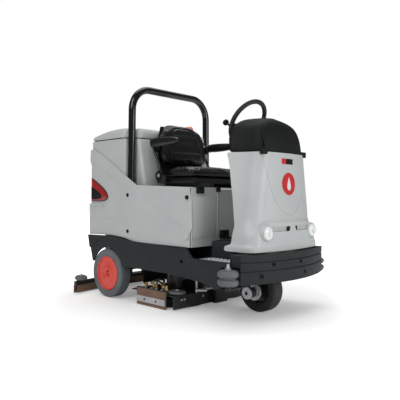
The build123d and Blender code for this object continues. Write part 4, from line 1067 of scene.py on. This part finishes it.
def seatCushion():
    low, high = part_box("seat_cushion")
    middle = (low + high) / 2
    size = high - low
    x, y, z = Vector((1, 0, 0)), Vector((0, 1, 0)), Vector((0, 0, 1))
    bm = bmesh.new()
    padForm(bm, middle - z * 0.004, x, y, z, size.x - 0.022, size.y - 0.016, size.z - 0.026, crown=0.010)
    for v in bm.verts:
        # raised bolsters at both sides and a rolled front edge
        side = abs(v.co.x) / (size.x / 2)
        if v.co.z > middle.z:
            v.co.z += 0.006 * max(0.0, min(1.0, (side - 0.62) / 0.2)) - 0.003
        if v.co.y < low.y + 0.05 and v.co.z > middle.z:
            v.co.z -= 0.010 * (1 - (v.co.y - low.y) / 0.05)
    piece = keep(bm, "seatCushionPad", "seat", "seat_vinyl")
    swell(piece, seatDims["cap"], seatDims["pressure"])
    w = size.x / 2 * 0.66
    lines = [[(-w, high.y, 0), (-w, low.y + 0.075, 0), (-w + 0.03, low.y + 0.05, 0), (w - 0.03, low.y + 0.05, 0),
              (w, low.y + 0.075, 0), (w, high.y, 0)]]
    lines += [[(-w + 0.02, y0, 0), (w - 0.02, y0, 0)] for y0 in (low.y + 0.13, low.y + 0.205)]
    pressChannels(piece, lines, seatDims["channel"], 0.0055, z)
    finishPad(piece, "seat_cushion")
    # piping along the lower edge of the cushion
    ring = curvePoints([(-0.985 * size.x / 2, high.y - 0.03, 0), (-0.99 * size.x / 2, middle.y, 0),
                        (-0.975 * size.x / 2, low.y + 0.045, 0), (-0.85 * size.x / 2, low.y + 0.006, 0),
                        (0, low.y + 0.001, 0), (0.85 * size.x / 2, low.y + 0.006, 0),
                        (0.975 * size.x / 2, low.y + 0.045, 0), (0.99 * size.x / 2, middle.y, 0),
                        (0.985 * size.x / 2, high.y - 0.03, 0)], 6)
    routedTube([(px, py, low.z + 0.020) for px, py, _ in ring], seatDims["piping"], "cushionPiping", "seat",
               "seat_vinyl", 10, 1)
    # dark pan under the cushion
    bm = bmesh.new()
    addBlock(bm, (low.x + 0.02, low.y + 0.02, low.z - 0.012), (high.x - 0.02, high.y - 0.01, low.z + 0.004))
    roundEdges(bm, 0.008, 3)
    keep(bm, "cushionPan", "seat", "cap_plastic")


def backFrame():
    # axes of the leaning back: across, up along the back, and out of its front face
    lean = math.radians(13)
    foot = Vector(joints["back_recline"]["pos_m"])
    up = Vector((0, math.sin(lean), math.cos(lean)))
    out = Vector((0, -math.cos(lean), math.sin(lean)))
    return foot, Vector((1, 0, 0)), up, out


def seatBack():
    foot, across, up, out = backFrame()
    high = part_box("seat_back")[1]
    height = (high.z - foot.z) / math.cos(math.radians(13)) - 0.004
    base = 0.078
    length = height - base - 0.008
    bm = bmesh.new()
    centre = foot + up * (base + length / 2) + out * (-0.004)
    padForm(bm, centre, across, up, out, 0.438, length, 0.046, taper=0.0, crown=0.010, cuts=12)
    for v in bm.verts:
        t = ((v.co - foot).dot(up) - base) / length
        if t > 0.55:
            v.co.x *= 1 - 0.30 * ((t - 0.55) / 0.45) ** 1.3
        # bolsters stand forward at both sides, and the top rolls back a little
        side = abs(v.co.x) / 0.219
        if (v.co - centre).dot(out) > 0:
            v.co += out * 0.006 * max(0.0, min(1.0, (side - 0.6) / 0.25))
        v.co -= out * 0.010 * max(0.0, t - 0.8) / 0.2
    piece = keep(bm, "seatBackPad", "seat_back", "seat_vinyl")
    swell(piece, seatDims["cap"], seatDims["pressure"])
    at = lambda side, t: tuple(foot + across * side + up * (base + length * t))
    lines = [[at(-0.135, 0.03), at(-0.140, 0.45), at(-0.105, 0.80), at(-0.06, 0.86), at(0.06, 0.86), at(0.105, 0.80),
              at(0.140, 0.45), at(0.135, 0.03)]]
    lines += [[at(-0.13, t), at(0.13, t)] for t in (0.26, 0.50, 0.70)]
    pressChannels(piece, lines, seatDims["channel"], 0.0055, out)
    finishPad(piece, "seat_back")


def armPads():
    for name in ("left", "right"):
        low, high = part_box(f"armrest_{name}")
        middle, size = (low + high) / 2, high - low
        bm = bmesh.new()
        padForm(bm, middle, Vector((1, 0, 0)), Vector((0, 1, 0)), Vector((0, 0, 1)), size.x - 0.014, size.y - 0.014,
                size.z - 0.018, crown=0.004, cuts=8)
        for v in bm.verts:
            # thick over its pivot, thinner and rounded off towards the front
            t = (high.y - v.co.y) / size.y
            squeeze = 1 - 0.42 * max(0.0, t - 0.25) ** 1.4
            v.co.z = high.z - 0.012 - (high.z - 0.012 - v.co.z) * squeeze - 0.006 * t
            v.co.x = middle.x + (v.co.x - middle.x) * (1 - 0.10 * t)
        piece = keep(bm, f"armPad_{name}", f"armrest_{name}", "seat_vinyl")
        swell(piece, 0.005, 2.5)
        finishPad(piece, f"armrest_{name}")


def seatSides():
    # hinge discs, pins and straps beside the seat
    foot, _, up, out = backFrame()
    for name, side in (("left", 1), ("right", -1)):
        x = side * 0.262
        bm = bmesh.new()
        addCylinder(bm, (x - side * 0.004, foot.y, foot.z), (x + side * 0.010, foot.y, foot.z), 0.034, 40)
        roundEdges(bm, 0.004, 4)
        keep(bm, f"recliner_{name}", "seat", "cap_plastic")
        bm = bmesh.new()
        addCylinder(bm, (x, foot.y, foot.z), (x + side * 0.014, foot.y, foot.z), 0.012, 24)
        roundEdges(bm, 0.002, 3)
        keep(bm, f"reclinerPin_{name}", "seat_back", "steel")
        strap = [foot + Vector((x - side * 0.016, 0, 0)) + up * t - out * d
                 for t, d in ((0.02, 0.004), (0.07, 0.006), (0.13, 0.022), (0.19, 0.034), (0.25, 0.036))]
        strap = [Vector((p.x, p.y, p.z)) for p in strap]
        routedTube([tuple(p) for p in strap], 0.009, f"backStrap_{name}", "seat_back", "motor_case", 14, 6)


seatCushion()
seatBack()
armPads()
seatSides()
print("seat done")

# steering wheel with a ribbed grip, its hub and spinner knob, and the console
wheelMade = {"gripRadius": 0.0145, "ribs": 72, "rib": 0.0007}


def turnedPlace(origin, axis):
    # local X stays across the machine, local Z follows the axis
    z = Vector(axis).normalized()
    x = Vector((1, 0, 0))
    y = z.cross(x)
    turn = Matrix((x, y, z)).transposed().to_4x4()
    return Matrix.Translation(origin) @ turn


def lathe(bm, profile, place, steps=48):
    # spins (radius, height) points about the place's local Z, and leaves what bm already holds where it is
    earlier = set(bm.verts)
    verts = [bm.verts.new((r, 0, h)) for r, h in profile]
    edges = [bm.edges.new(pair) for pair in zip(verts, verts[1:])]
    bmesh.ops.spin(bm, geom=verts + edges, cent=(0, 0, 0), axis=(0, 0, 1), angle=math.tau, steps=steps, use_merge=True)
    bmesh.ops.remove_doubles(bm, verts=[v for v in bm.verts if v not in earlier], dist=1e-6)
    bmesh.ops.transform(bm, matrix=place, verts=[v for v in bm.verts if v not in earlier])


def steeringWheel():
    turn = joints["steering_turn"]
    place = turnedPlace(turn["pos_m"], turn["axis"])
    rim = 0.140
    bm = bmesh.new()
    grip = wheelMade["gripRadius"]
    verts = [bm.verts.new((rim + grip * math.cos(math.tau * k / 16), 0, grip * math.sin(math.tau * k / 16)))
             for k in range(16)]
    edges = [bm.edges.new((verts[k], verts[(k + 1) % 16])) for k in range(16)]
    bmesh.ops.spin(bm, geom=verts + edges, cent=(0, 0, 0), axis=(0, 0, 1), angle=math.tau, steps=288, use_merge=True)
    bmesh.ops.remove_doubles(bm, verts=bm.verts, dist=1e-6)
    for v in bm.verts:
        angle = math.atan2(v.co.y, v.co.x)
        ring = Vector((math.cos(angle), math.sin(angle), 0)) * rim
        v.co += (v.co - ring).normalized() * wheelMade["rib"] * math.cos(angle * wheelMade["ribs"])
    bmesh.ops.transform(bm, matrix=place, verts=bm.verts)
    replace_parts(keep(bm, "wheelRim", "steering_wheel", "grip_rubber", angle=80), "steering_wheel")
    bm = bmesh.new()
    for degrees in (15, 90, 165):
        a = math.radians(degrees)
        inner = Vector((0.020 * math.cos(a), 0.020 * math.sin(a), -0.042))
        outer = Vector((0.136 * math.cos(a), 0.136 * math.sin(a), -0.003))
        along = (outer - inner).normalized()
        side = Vector((-math.sin(a), math.cos(a), 0))
        face = along.cross(side)
        loops = []
        for t, wide, thick in ((0, 0.019, 0.006), (0.25, 0.015, 0.0055), (0.6, 0.010, 0.005), (0.85, 0.010, 0.005),
                               (1, 0.013, 0.0055)):
            at = inner.lerp(outer, t)
            loops.append([bm.verts.new(at + side * wide * math.cos(math.tau * k / 16) + face * thick
                                       * math.sin(math.tau * k / 16)) for k in range(16)])
        skinLoops(bm, loops)
    bmesh.ops.transform(bm, matrix=place, verts=bm.verts)
    keep(bm, "wheelSpokes", "steering_wheel", "cap_plastic", angle=50)
    bm = bmesh.new()
    lathe(bm, [(0.0005, -0.0325), (0.018, -0.033), (0.024, -0.0345), (0.0275, -0.038), (0.029, -0.040), (0.034, -0.041),
               (0.0355, -0.044), (0.036, -0.052), (0.034, -0.057), (0.0225, -0.062), (0.0225, -0.070), (0.0005, -0.070)],
          place, 56)
    keep(bm, "wheelHub", "steering_wheel", "cap_plastic", angle=40)
    spin = joints["spinner_turn"]
    place = turnedPlace(spin["pos_m"], spin["axis"])
    bm = bmesh.new()
    lathe(bm, [(0.0005, -0.015), (0.009, -0.015), (0.009, -0.011), (0.0065, -0.008), (0.0065, 0.010), (0.013, 0.012),
               (0.0175, 0.016), (0.0195, 0.022), (0.0195, 0.028), (0.0175, 0.034), (0.012, 0.039), (0.006, 0.0405),
               (0.0005, 0.041)], place, 40)
    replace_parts(keep(bm, "spinnerKnob", "spinner", "cap_plastic", angle=45), "spinner_knob")
    # bellows round the column where it leaves the console
    turnedColumn = turnedPlace(turn["pos_m"], turn["axis"])
    bm = bmesh.new()
    profile = [(0.0245, -0.075)]
    for k in range(6):
        profile += [(0.031 + 0.0015 * k, -0.079 - 0.011 * k), (0.0255 + 0.0015 * k, -0.0845 - 0.011 * k)]
    lathe(bm, profile, turnedColumn, 48)
    keep(bm, "columnBellows", "chassis", "hose", angle=60)


def consoleDetails():
    low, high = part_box("dashboard")
    slope = math.atan(0.103)
    top = Vector((0, high.y - 0.011, low.z + 0.060))
    place = Matrix.Translation(top) @ Matrix.Rotation(slope, 4, "X")
    screen = bmesh.new()
    addBlock(screen, (-0.125, -0.002, 0.010), (-0.035, 0.0025, 0.062))
    roundEdges(screen, 0.002, 3)
    bmesh.ops.transform(screen, matrix=Matrix.Translation((0, 0.0, 0)) @ place, verts=screen.verts)
    keep(screen, "consoleScreen", "chassis", "black_tube")
    keys = bmesh.new()
    for row in range(2):
        for step in range(4):
            x = -0.118 + step * 0.025
            addBlock(keys, (x - 0.008, -0.002, -0.012 - row * 0.024), (x + 0.008, 0.0035, 0.002 - row * 0.024))
    roundEdges(keys, 0.0015, 2)
    bmesh.ops.transform(keys, matrix=place, verts=keys.verts)
    keep(keys, "consoleKeys", "chassis", "roller_rubber")


steeringWheel()
consoleDetails()
print("steering done")

# brush deck: guard, fittings, hoses and rods; the drive motor; rollers and squeegee
def boltHead(bm, place, axis, radius=0.006, tall=0.004):
    place, axis = Vector(place), Vector(axis)
    addCylinder(bm, place, place + axis * tall * 0.35, radius * 1.5, 20)
    addCylinder(bm, place + axis * tall * 0.3, place + axis * tall * 1.35, radius, 6)


def bristleRing(name, body):
    # tufts in rings under the brush disc
    low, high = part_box(name)
    middle = (low + high) / 2
    outer = (high.x - low.x) / 2
    bm = bmesh.new()
    random.seed(7)
    for ring in range(5):
        reach = outer - 0.008 - ring * 0.023
        count = int(math.tau * reach / 0.017)
        for k in range(count):
            a = math.tau * k / count + ring * 0.4
            x, y = middle.x + reach * math.cos(a), middle.y + reach * math.sin(a)
            splay = 0.006 if ring == 0 else 0.002
            end = (x + splay * math.cos(a), y + splay * math.sin(a), 0.0015 + 0.001 * random.random())
            addCylinder(bm, end, (x, y, 0.041), 0.0062, 7, 0.0045)
    keep(bm, f"{name}Tufts", body, "brush_plastic")
    bm = bmesh.new()
    lathe(bm, [(0.0145, 0.038), (outer - 0.010, 0.038), (outer - 0.007, 0.041), (outer - 0.008, 0.054),
               (outer - 0.016, 0.058), (0.060, 0.059), (0.036, 0.064), (0.034, 0.072), (0.0145, 0.074), (0.0145, 0.038)],
          Matrix.Translation((middle.x, middle.y, 0)), 72)
    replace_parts(keep(bm, f"{name}Disc", body, "brush_plastic", angle=40), name)


def deckDetails():
    low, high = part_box("deck_guards")
    front, rear = low.y, high.y
    for name, side in (("left", 1), ("right", -1)):
        face = side * (high.x - 0.012)
        outer = side * high.x
        x0, x1 = sorted((face, outer))
        bm = bmesh.new()
        addBlock(bm, (x0, front, 0.002), (x1, rear, high.z))
        roundEdges(bm, 0.003, 3)
        piece = keep(bm, f"guardRubber_{name}", "deck", "tan_rubber")
        if side > 0:
            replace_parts(piece, "deck_guards")
        screws = bmesh.new()
        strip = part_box("guard_strips")
        stripX = side * strip[1].x
        for y in (front + 0.085, rear - 0.085):
            addCylinder(screws, (stripX - side * 0.002, y, 0.043), (stripX + side * 0.0015, y, 0.043), 0.0075, 20)
        keep(screws, f"guardScrews_{name}", "deck", "motor_case")
        # steel edge on top of the guard
        bm = bmesh.new()
        e0, e1 = sorted((face - side * 0.012, outer - side * 0.002))
        addBlock(bm, (e0, front - 0.004, high.z - 0.003), (e1, rear + 0.004, high.z + 0.003))
        roundEdges(bm, 0.001, 2)
        keep(bm, f"guardRail_{name}", "deck", "frame_paint")
        # posts, elbows and fittings over the deck
        brass, steel = bmesh.new(), bmesh.new()
        top = 0.092
        for k, (dy, dx, tall) in enumerate(((0.035, 0.030, 0.052), (0.085, 0.050, 0.064), (0.135, 0.034, 0.048),
                                            (0.190, 0.055, 0.060), (0.235, 0.036, 0.050))):
            place = Vector((face - side * dx, front + dy, top))
            addCylinder(steel, place, place + Vector((0, 0, tall * 0.5)), 0.0075, 18)
            addCylinder(brass, place + Vector((0, 0, tall * 0.45)), place + Vector((0, 0, tall * 0.62)), 0.0125, 6)
            addCylinder(brass, place + Vector((0, 0, tall * 0.60)), place + Vector((0, 0, tall)), 0.0085, 20)
            tip = place + Vector((0, 0, tall * 0.85))
            addCylinder(brass, tip, tip + Vector((side * 0.022, 0.004, 0)), 0.0065, 16)
            boltHead(steel, (face - side * 0.006, front + dy + 0.018, high.z + 0.003), (0, 0, 1), 0.0055, 0.005)
        keep(brass, f"brassFittings_{name}", "deck", "brass", angle=30)
        keep(steel, f"deckStuds_{name}", "deck", "steel", angle=30)
        routedTube([(face - side * 0.028, front + 0.036, 0.137), (face - side * 0.020, front + 0.070, 0.158),
                    (face - side * 0.030, front + 0.120, 0.162), (face - side * 0.034, front + 0.137, 0.136)], 0.0065,
                   f"feedHose_{name}", "deck", "hose", 12, 8)
        routedTube([(face - side * 0.050, front + 0.086, 0.152), (face - side * 0.075, front + 0.110, 0.166),
                    (face - side * 0.075, front + 0.165, 0.164), (face - side * 0.055, front + 0.190, 0.148)], 0.0075,
                   f"returnHose_{name}", "deck", "hose", 12, 8)
        # lifting rods and a threaded rod ahead of the deck
        rods = bmesh.new()
        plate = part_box("deck_plate")[0]
        addCylinder(rods, (side * 0.250, plate.y - 0.002, 0.120), (side * 0.205, plate.y - 0.055, 0.120), 0.010, 24)
        addCylinder(rods, (side * 0.205, plate.y + 0.035, 0.093), (side * 0.205, plate.y + 0.035, 0.176), 0.007, 20)
        for k in range(16):
            addCylinder(rods, (side * 0.205, plate.y + 0.035, 0.100 + k * 0.0045),
                        (side * 0.205, plate.y + 0.035, 0.1022 + k * 0.0045), 0.0086, 16)
        addCylinder(rods, (side * 0.150, plate.y + 0.022, 0.112), (side * 0.040, plate.y + 0.022, 0.112), 0.013, 28)
        addCylinder(rods, (side * 0.140, plate.y + 0.022, 0.112), (side * 0.128, plate.y + 0.022, 0.112), 0.018, 28)
        addCylinder(rods, (side * 0.060, plate.y + 0.022, 0.112), (side * 0.048, plate.y + 0.022, 0.112), 0.018, 28)
        keep(rods, f"liftRods_{name}", "deck", "steel", angle=30)
        # screws on the deck's front face
        screws = bmesh.new()
        for x in (0.370, 0.345, 0.180):
            boltHead(screws, (side * x, plate.y, 0.074), (0, -1, 0), 0.0045, 0.003)
        keep(screws, f"frontScrews_{name}", "deck", "steel", angle=30)
        # cable from the brush motor
        middle = side * 0.2
        deckY = (front + rear) / 2
        routedTube([(middle, deckY + 0.030, 0.222), (middle - side * 0.01, deckY + 0.075, 0.214),
                    (middle - side * 0.03, deckY + 0.095, 0.160), (middle - side * 0.05, deckY + 0.110, 0.098)], 0.006,
                   f"motorLead_{name}", "deck", "hose", 12, 8)


def grooved(name, body, finish, lobes):
    # a roller with rounded lobes round a bore
    low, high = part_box(name)
    middle = (low + high) / 2
    radius = (high.x - low.x) / 2
    tall = (high.z - low.z) / lobes
    profile = [(0.0085, low.z)]
    for k in range(lobes):
        base = low.z + k * tall
        inset = radius * 0.72 if k else radius * 0.80
        profile.append((inset, base + 0.0002))
        for t in range(9):
            a = -math.pi / 2 + math.pi * t / 8
            profile.append((radius - tall * 0.36 + tall * 0.36 * math.cos(a), base + tall * 0.5 + tall * 0.42 * math.sin(a)))
        profile.append((radius * 0.72, base + tall * 0.985))
    profile += [(radius * 0.45, high.z - 0.002), (0.0085, high.z - 0.002), (0.0085, low.z)]
    bm = bmesh.new()
    lathe(bm, profile, Matrix.Translation((middle.x, middle.y, 0)), 64)
    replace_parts(keep(bm, f"{name}Tyre", body, finish, angle=35), name)
    return middle, high.z


def rollers():
    for name in ("left", "right"):
        middle, top = grooved(f"front_roller_{name}", f"front_roller_{name}", "roller_rubber", 2)
        bm = bmesh.new()
        addCylinder(bm, (middle.x, middle.y, top), (middle.x, middle.y, top + 0.004), 0.020, 28)
        addCylinder(bm, (middle.x, middle.y, top + 0.004), (middle.x, middle.y, top + 0.014), 0.0145, 6)
        addCylinder(bm, (middle.x, middle.y, top + 0.012), (middle.x, middle.y, top + 0.034), 0.0085, 20)
        keep(bm, f"studNut_{name}", "chassis", "steel", angle=30)
        for kind in ("deck", "squeegee"):
            middle, top = grooved(f"{kind}_roller_{name}", f"{kind}_roller_{name}", "roller_rubber", 1)
            bm = bmesh.new()
            addCylinder(bm, (middle.x, middle.y, top - 0.001), (middle.x, middle.y, top + 0.003), 0.017, 28)
            addCylinder(bm, (middle.x, middle.y, top + 0.003), (middle.x, middle.y, top + 0.0075), 0.010, 6)
            keep(bm, f"{kind}Nut_{name}", kind, "steel", angle=30)


def driveMotor():
    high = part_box("drive_motor")[1]
    y, z = joints["drive_spin"]["pos_m"][1] - 0.006, joints["drive_spin"]["pos_m"][2] - 0.010
    face = high.x
    place = Matrix.Translation((face, y, z)) @ Matrix.Rotation(-math.pi / 2, 4, "Y")
    bm = bmesh.new()
    lathe(bm, [(0.0005, 0.0005), (0.052, 0.0005), (0.0535, 0.002), (0.0535, 0.010), (0.051, 0.012), (0.036, 0.0125),
               (0.036, 0.020), (0.0005, 0.020)], place, 64)
    keep(bm, "motorMount", "fork", "cast_aluminium", angle=30)
    bm = bmesh.new()
    lathe(bm, [(0.0005, 0.018), (0.030, 0.018), (0.0305, 0.020), (0.0305, 0.070), (0.0005, 0.070)], place, 56)
    piece = keep(bm, "motorBody", "fork", "motor_case", angle=30)
    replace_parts(piece, "drive_motor")
    bm = bmesh.new()
    lathe(bm, [(0.012, 0.069), (0.036, 0.069), (0.037, 0.071), (0.037, 0.076), (0.035, 0.078), (0.020, 0.078),
               (0.018, 0.082), (0.012, 0.082), (0.012, 0.069)], place, 56)
    keep(bm, "motorFlange", "fork", "cast_aluminium", angle=30)
    bolts = bmesh.new()
    for k in range(6):
        a = math.tau * k / 6 + 0.3
        at = place @ Vector((0.0285 * math.cos(a), 0.0285 * math.sin(a), 0.078))
        addCylinder(bolts, at, at + Vector((-0.003, 0, 0)), 0.0038, 6)
        at = place @ Vector((0.0450 * math.cos(a), 0.0450 * math.sin(a), 0.012))
        addCylinder(bolts, at, at + Vector((-0.005, 0, 0)), 0.0048, 6)
    keep(bolts, "motorBolts", "fork", "steel", angle=30)
    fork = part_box("steering_fork")
    routedTube([(face - 0.045, y, z + 0.032), (face - 0.050, y + 0.020, z + 0.075), (face - 0.020, y + 0.030, z + 0.120),
                (face + 0.006, y + 0.020, fork[1].z - 0.030)], 0.0075, "driveLead", "fork", "hose", 12, 8)


for name in ("left", "right"):
    bristleRing(f"brush_{name}", f"brush_{name}")
deckDetails()
rollers()
driveMotor()
print("deck and rollers done")

# rear lamps, beacon, latches, brackets, tread plates and the dark parts under the body
def plateFrom(bm, points, x0, x1):
    thicken(bm, sideOutline(bm, points, x0), (x1 - x0, 0, 0))


def rearLamps():
    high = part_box("rear_lamps")[1]
    rear = high.y
    outline = curvePoints([(rear - 0.003, 0.832), (rear - 0.060, 0.806), (rear - 0.125, 0.772), (rear - 0.176, 0.736),
                           (rear - 0.198, 0.706), (rear - 0.188, 0.684), (rear - 0.150, 0.674), (rear - 0.080, 0.670),
                           (rear - 0.003, 0.670)], 5)
    inner = curvePoints([(rear - 0.003, 0.772), (rear - 0.060, 0.752), (rear - 0.108, 0.726), (rear - 0.128, 0.704),
                         (rear - 0.112, 0.688), (rear - 0.060, 0.682), (rear - 0.003, 0.682)], 5)
    for name, side in (("left", 1), ("right", -1)):
        base = side * (high.x - 0.0062)
        bm = bmesh.new()
        plateFrom(bm, outline, base, base + side * 0.0055)
        bmesh.ops.recalc_face_normals(bm, faces=bm.faces)
        outerEdges = [e for e in bm.edges if all(abs(v.co.x - base - side * 0.0055) < 1e-5 for v in e.verts)]
        roundEdges(bm, 0.0035, 4, outerEdges)
        piece = keep(bm, f"rearLamp_{name}", "chassis", "red_lens", angle=50)
        if side > 0:
            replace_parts(piece, "rear_lamps")
        bm = bmesh.new()
        plateFrom(bm, inner, base, base + side * 0.0061)
        keep(bm, f"lampDark_{name}", "chassis", "black_tube", angle=50)
        loop = [(base + side * 0.002, y, z) for y, z in outline]
        ring = tubeAlong(loop, 0.0035, 10, f"lampFrame_{name}")
        ring.data.materials.append(finishes["seam"])
        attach(ring, "chassis")
        # moulded shelf under the lamp
        bm = bmesh.new()
        x0, x1 = sorted((side * (high.x - 0.0065), side * (high.x - 0.0005)))
        addBlock(bm, (x0, rear - 0.150, 0.636), (x1, rear + 0.020, 0.650))
        roundEdges(bm, 0.0055, 4)
        keep(bm, f"lampShelf_{name}", "chassis", "body_plastic")


def beacon():
    low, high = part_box("beacon_lens")
    middle = (low + high) / 2
    radius = (high.x - low.x) / 2
    place = Matrix.Translation((middle.x, middle.y, low.z))
    tall = high.z - low.z
    bm = bmesh.new()
    profile = [(radius, 0.0), (radius, 0.004)]
    for k in range(5):
        z = 0.006 + k * 0.008
        profile += [(radius * 0.985, z), (radius, z + 0.003), (radius, z + 0.005), (radius * 0.985, z + 0.008)]
    profile += [(radius * 0.95, tall * 0.74), (radius * 0.86, tall * 0.86), (radius * 0.68, tall * 0.95),
                (radius * 0.4, tall * 0.99), (0.0005, tall)]
    lathe(bm, profile + [(0.0005, 0.0)], place, 56)
    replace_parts(keep(bm, "beaconLens", "lid", "amber_lens", angle=60), "beacon_lens")
    bm = bmesh.new()
    lathe(bm, [(radius + 0.002, -0.022), (radius + 0.0055, -0.020), (radius + 0.0055, -0.004), (radius + 0.003, 0.001),
               (radius - 0.003, 0.002), (0.0005, 0.002)], place, 56)
    keep(bm, "beaconSkirt", "lid", "cap_plastic", angle=50)


def frontDetails():
    # wall in front of the batteries: ribs, latches and a bracket by the step
    low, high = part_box("seat_box_front")
    face = low.y
    bm = bmesh.new()
    for x in (-0.395, -0.171, 0.171, 0.395):
        addBlock(bm, (x - 0.003, face - 0.0035, low.z + 0.05), (x + 0.003, face + 0.001, high.z - 0.03))
    for side in (-1, 1):
        x0, x1 = sorted((side * 0.185, side * 0.382))
        addBlock(bm, (x0, face - 0.004, low.z + 0.060), (x1, face + 0.001, high.z - 0.045))
    roundEdges(bm, 0.0025, 3)
    keep(bm, "frontRibs", "chassis", "body_plastic")
    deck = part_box("seat_deck")
    bm = bmesh.new()
    for side in (-1, 1):
        for x0, x1, drop in ((0.298, 0.360, 0.030), (0.150, 0.182, 0.018)):
            a, b = sorted((side * x0, side * x1))
            addBlock(bm, (a, face - 0.010, deck[0].z - drop), (b, face + 0.002, deck[0].z + 0.012))
            addBlock(bm, (a + 0.004, face - 0.010, deck[0].z + 0.004), (b - 0.004, face + 0.030, deck[0].z + 0.0125))
    roundEdges(bm, 0.002, 3)
    keep(bm, "deckLatches", "chassis", "cap_plastic")
    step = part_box("foot_platform")
    bm = bmesh.new()
    addBlock(bm, (-0.148, face - 0.020, step[1].z), (-0.079, face + 0.001, step[1].z + 0.052))
    addBlock(bm, (-0.140, face - 0.060, step[1].z - 0.001), (-0.087, face - 0.010, step[1].z + 0.010))
    roundEdges(bm, 0.0025, 3)
    keep(bm, "platformBracket", "chassis", "cap_plastic")
    # rubber mat with ribs on the platform
    bm = bmesh.new()
    for k in range(9):
        y = step[0].y + 0.014 + k * 0.0168
        addBlock(bm, (step[0].x + 0.025, y, step[1].z - 0.0005), (step[1].x - 0.025, y + 0.008, step[1].z + 0.0022))
    keep(bm, "platformMat", "chassis", "grip_rubber")


def treadPlates():
    # raised toothed rims round the holes in the tread plates
    low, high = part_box("step_plates")
    bm = bmesh.new()
    middle = (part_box("foot_platform")[1].x + high.x + 0.002) / 2
    for side in (-1, 1):
        for row in (-1, 1):
            for step in range(6):
                y = low.y + 0.030 + step * 0.030
                x = side * (middle + row * 0.022)
                lathe(bm, [(0.0072, -0.001), (0.0108, -0.001), (0.0092, 0.0032), (0.0078, 0.0040), (0.0072, 0.0030),
                           (0.0072, -0.001)], Matrix.Translation((x, y, high.z)), 12)
    keep(bm, "treadTeeth", "chassis", "tread_aluminium", angle=50)


def lidHinges():
    axis = Vector(joints["lid_hinge"]["pos_m"])
    fixed, moving = bmesh.new(), bmesh.new()
    for x in (-0.240, 0.240):
        addCylinder(fixed, (x - 0.014, axis.y, axis.z), (x + 0.014, axis.y, axis.z), 0.005, 24)
        addBlock(fixed, (x - 0.014, axis.y - 0.006, axis.z - 0.040), (x + 0.014, axis.y + 0.002, axis.z - 0.003))
        for side in (-1, 1):
            a = x + side * 0.030
            addCylinder(moving, (a - 0.014, axis.y, axis.z), (a + 0.014, axis.y, axis.z), 0.005, 24)
            addBlock(moving, (a - 0.012, axis.y - 0.004, axis.z), (a + 0.012, axis.y + 0.002, axis.z + 0.012))
    keep(fixed, "hingeKnuckles", "chassis", "cap_plastic", angle=30)
    keep(moving, "hingeBarrels", "lid", "cap_plastic", angle=30)


def underBody():
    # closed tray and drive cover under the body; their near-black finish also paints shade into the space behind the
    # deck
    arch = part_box("rear_tyre_right")
    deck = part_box("deck_plate")
    bm = bmesh.new()
    addBlock(bm, (-0.265, deck[0].y - 0.05, 0.236), (0.265, arch[1].y + 0.10, 0.2395))
    addBlock(bm, (-0.262, arch[0].y - 0.035, 0.105), (0.262, arch[0].y - 0.028, 0.236))
    roundEdges(bm, 0.001, 1)
    keep(bm, "underTrayAndShade", "chassis", "seam", angle=30)
    # rings of the suction hose on the squeegee neck
    place = Vector((0, joints["squeegee_lift"]["pos_m"][1] + 0.130, 0.150))
    bm = bmesh.new()
    for k in range(7):
        lathe(bm, [(0.0255, k * 0.010), (0.0305, k * 0.010 + 0.003), (0.0305, k * 0.010 + 0.006), (0.0255, k * 0.010 + 0.009)],
              Matrix.Translation((place.x, place.y, 0.088)), 40)
    keep(bm, "neckRings", "squeegee", "hose", angle=60)
    wing = bmesh.new()
    for side in (-1, 1):
        for x in (0.09, 0.24, 0.38):
            y = joints["squeegee_lift"]["pos_m"][1] + 0.110 + 0.052 * (1 - (x / 0.505) ** 2)
            addCylinder(wing, (side * x, y + 0.012, 0.066), (side * x, y + 0.034, 0.066), 0.011, 20, 0.009)
            addBlock(wing, (side * x - 0.018, y + 0.026, 0.0625), (side * x + 0.018, y + 0.031, 0.0695))
    keep(wing, "bladeKnobs", "squeegee", "cap_plastic", angle=35)


def bumperDetails():
    # dark sockets round the bumper's holes
    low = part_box("bumper")[0]
    for count, (x, z) in enumerate(((-0.207, 0.334), (0.081, 0.267), (-0.289, 0.272), (0.032, 0.334))):
        hit, point, _, _ = nodes["bumper"].ray_cast(Vector((x + 0.014, -2.0, z)), Vector((0, 1, 0)))
        y = point.y if hit else low.y
        place = Matrix.Translation((x, y - 0.001, z)) @ Matrix.Rotation(math.pi / 2, 4, "X")
        bm = bmesh.new()
        lathe(bm, [(0.0075, -0.018), (0.0075, 0.0), (0.0095, 0.0015), (0.0125, 0.0015), (0.0135, 0.0), (0.0135, -0.006),
                   (0.0075, -0.018)], place, 36)
        keep(bm, f"bumperSocket{count}", "chassis", "seam", angle=40)


rearLamps()
beacon()
frontDetails()
treadPlates()
lidHinges()
underBody()
bumperDetails()
print("details done")

bpy.context.view_layer.update()
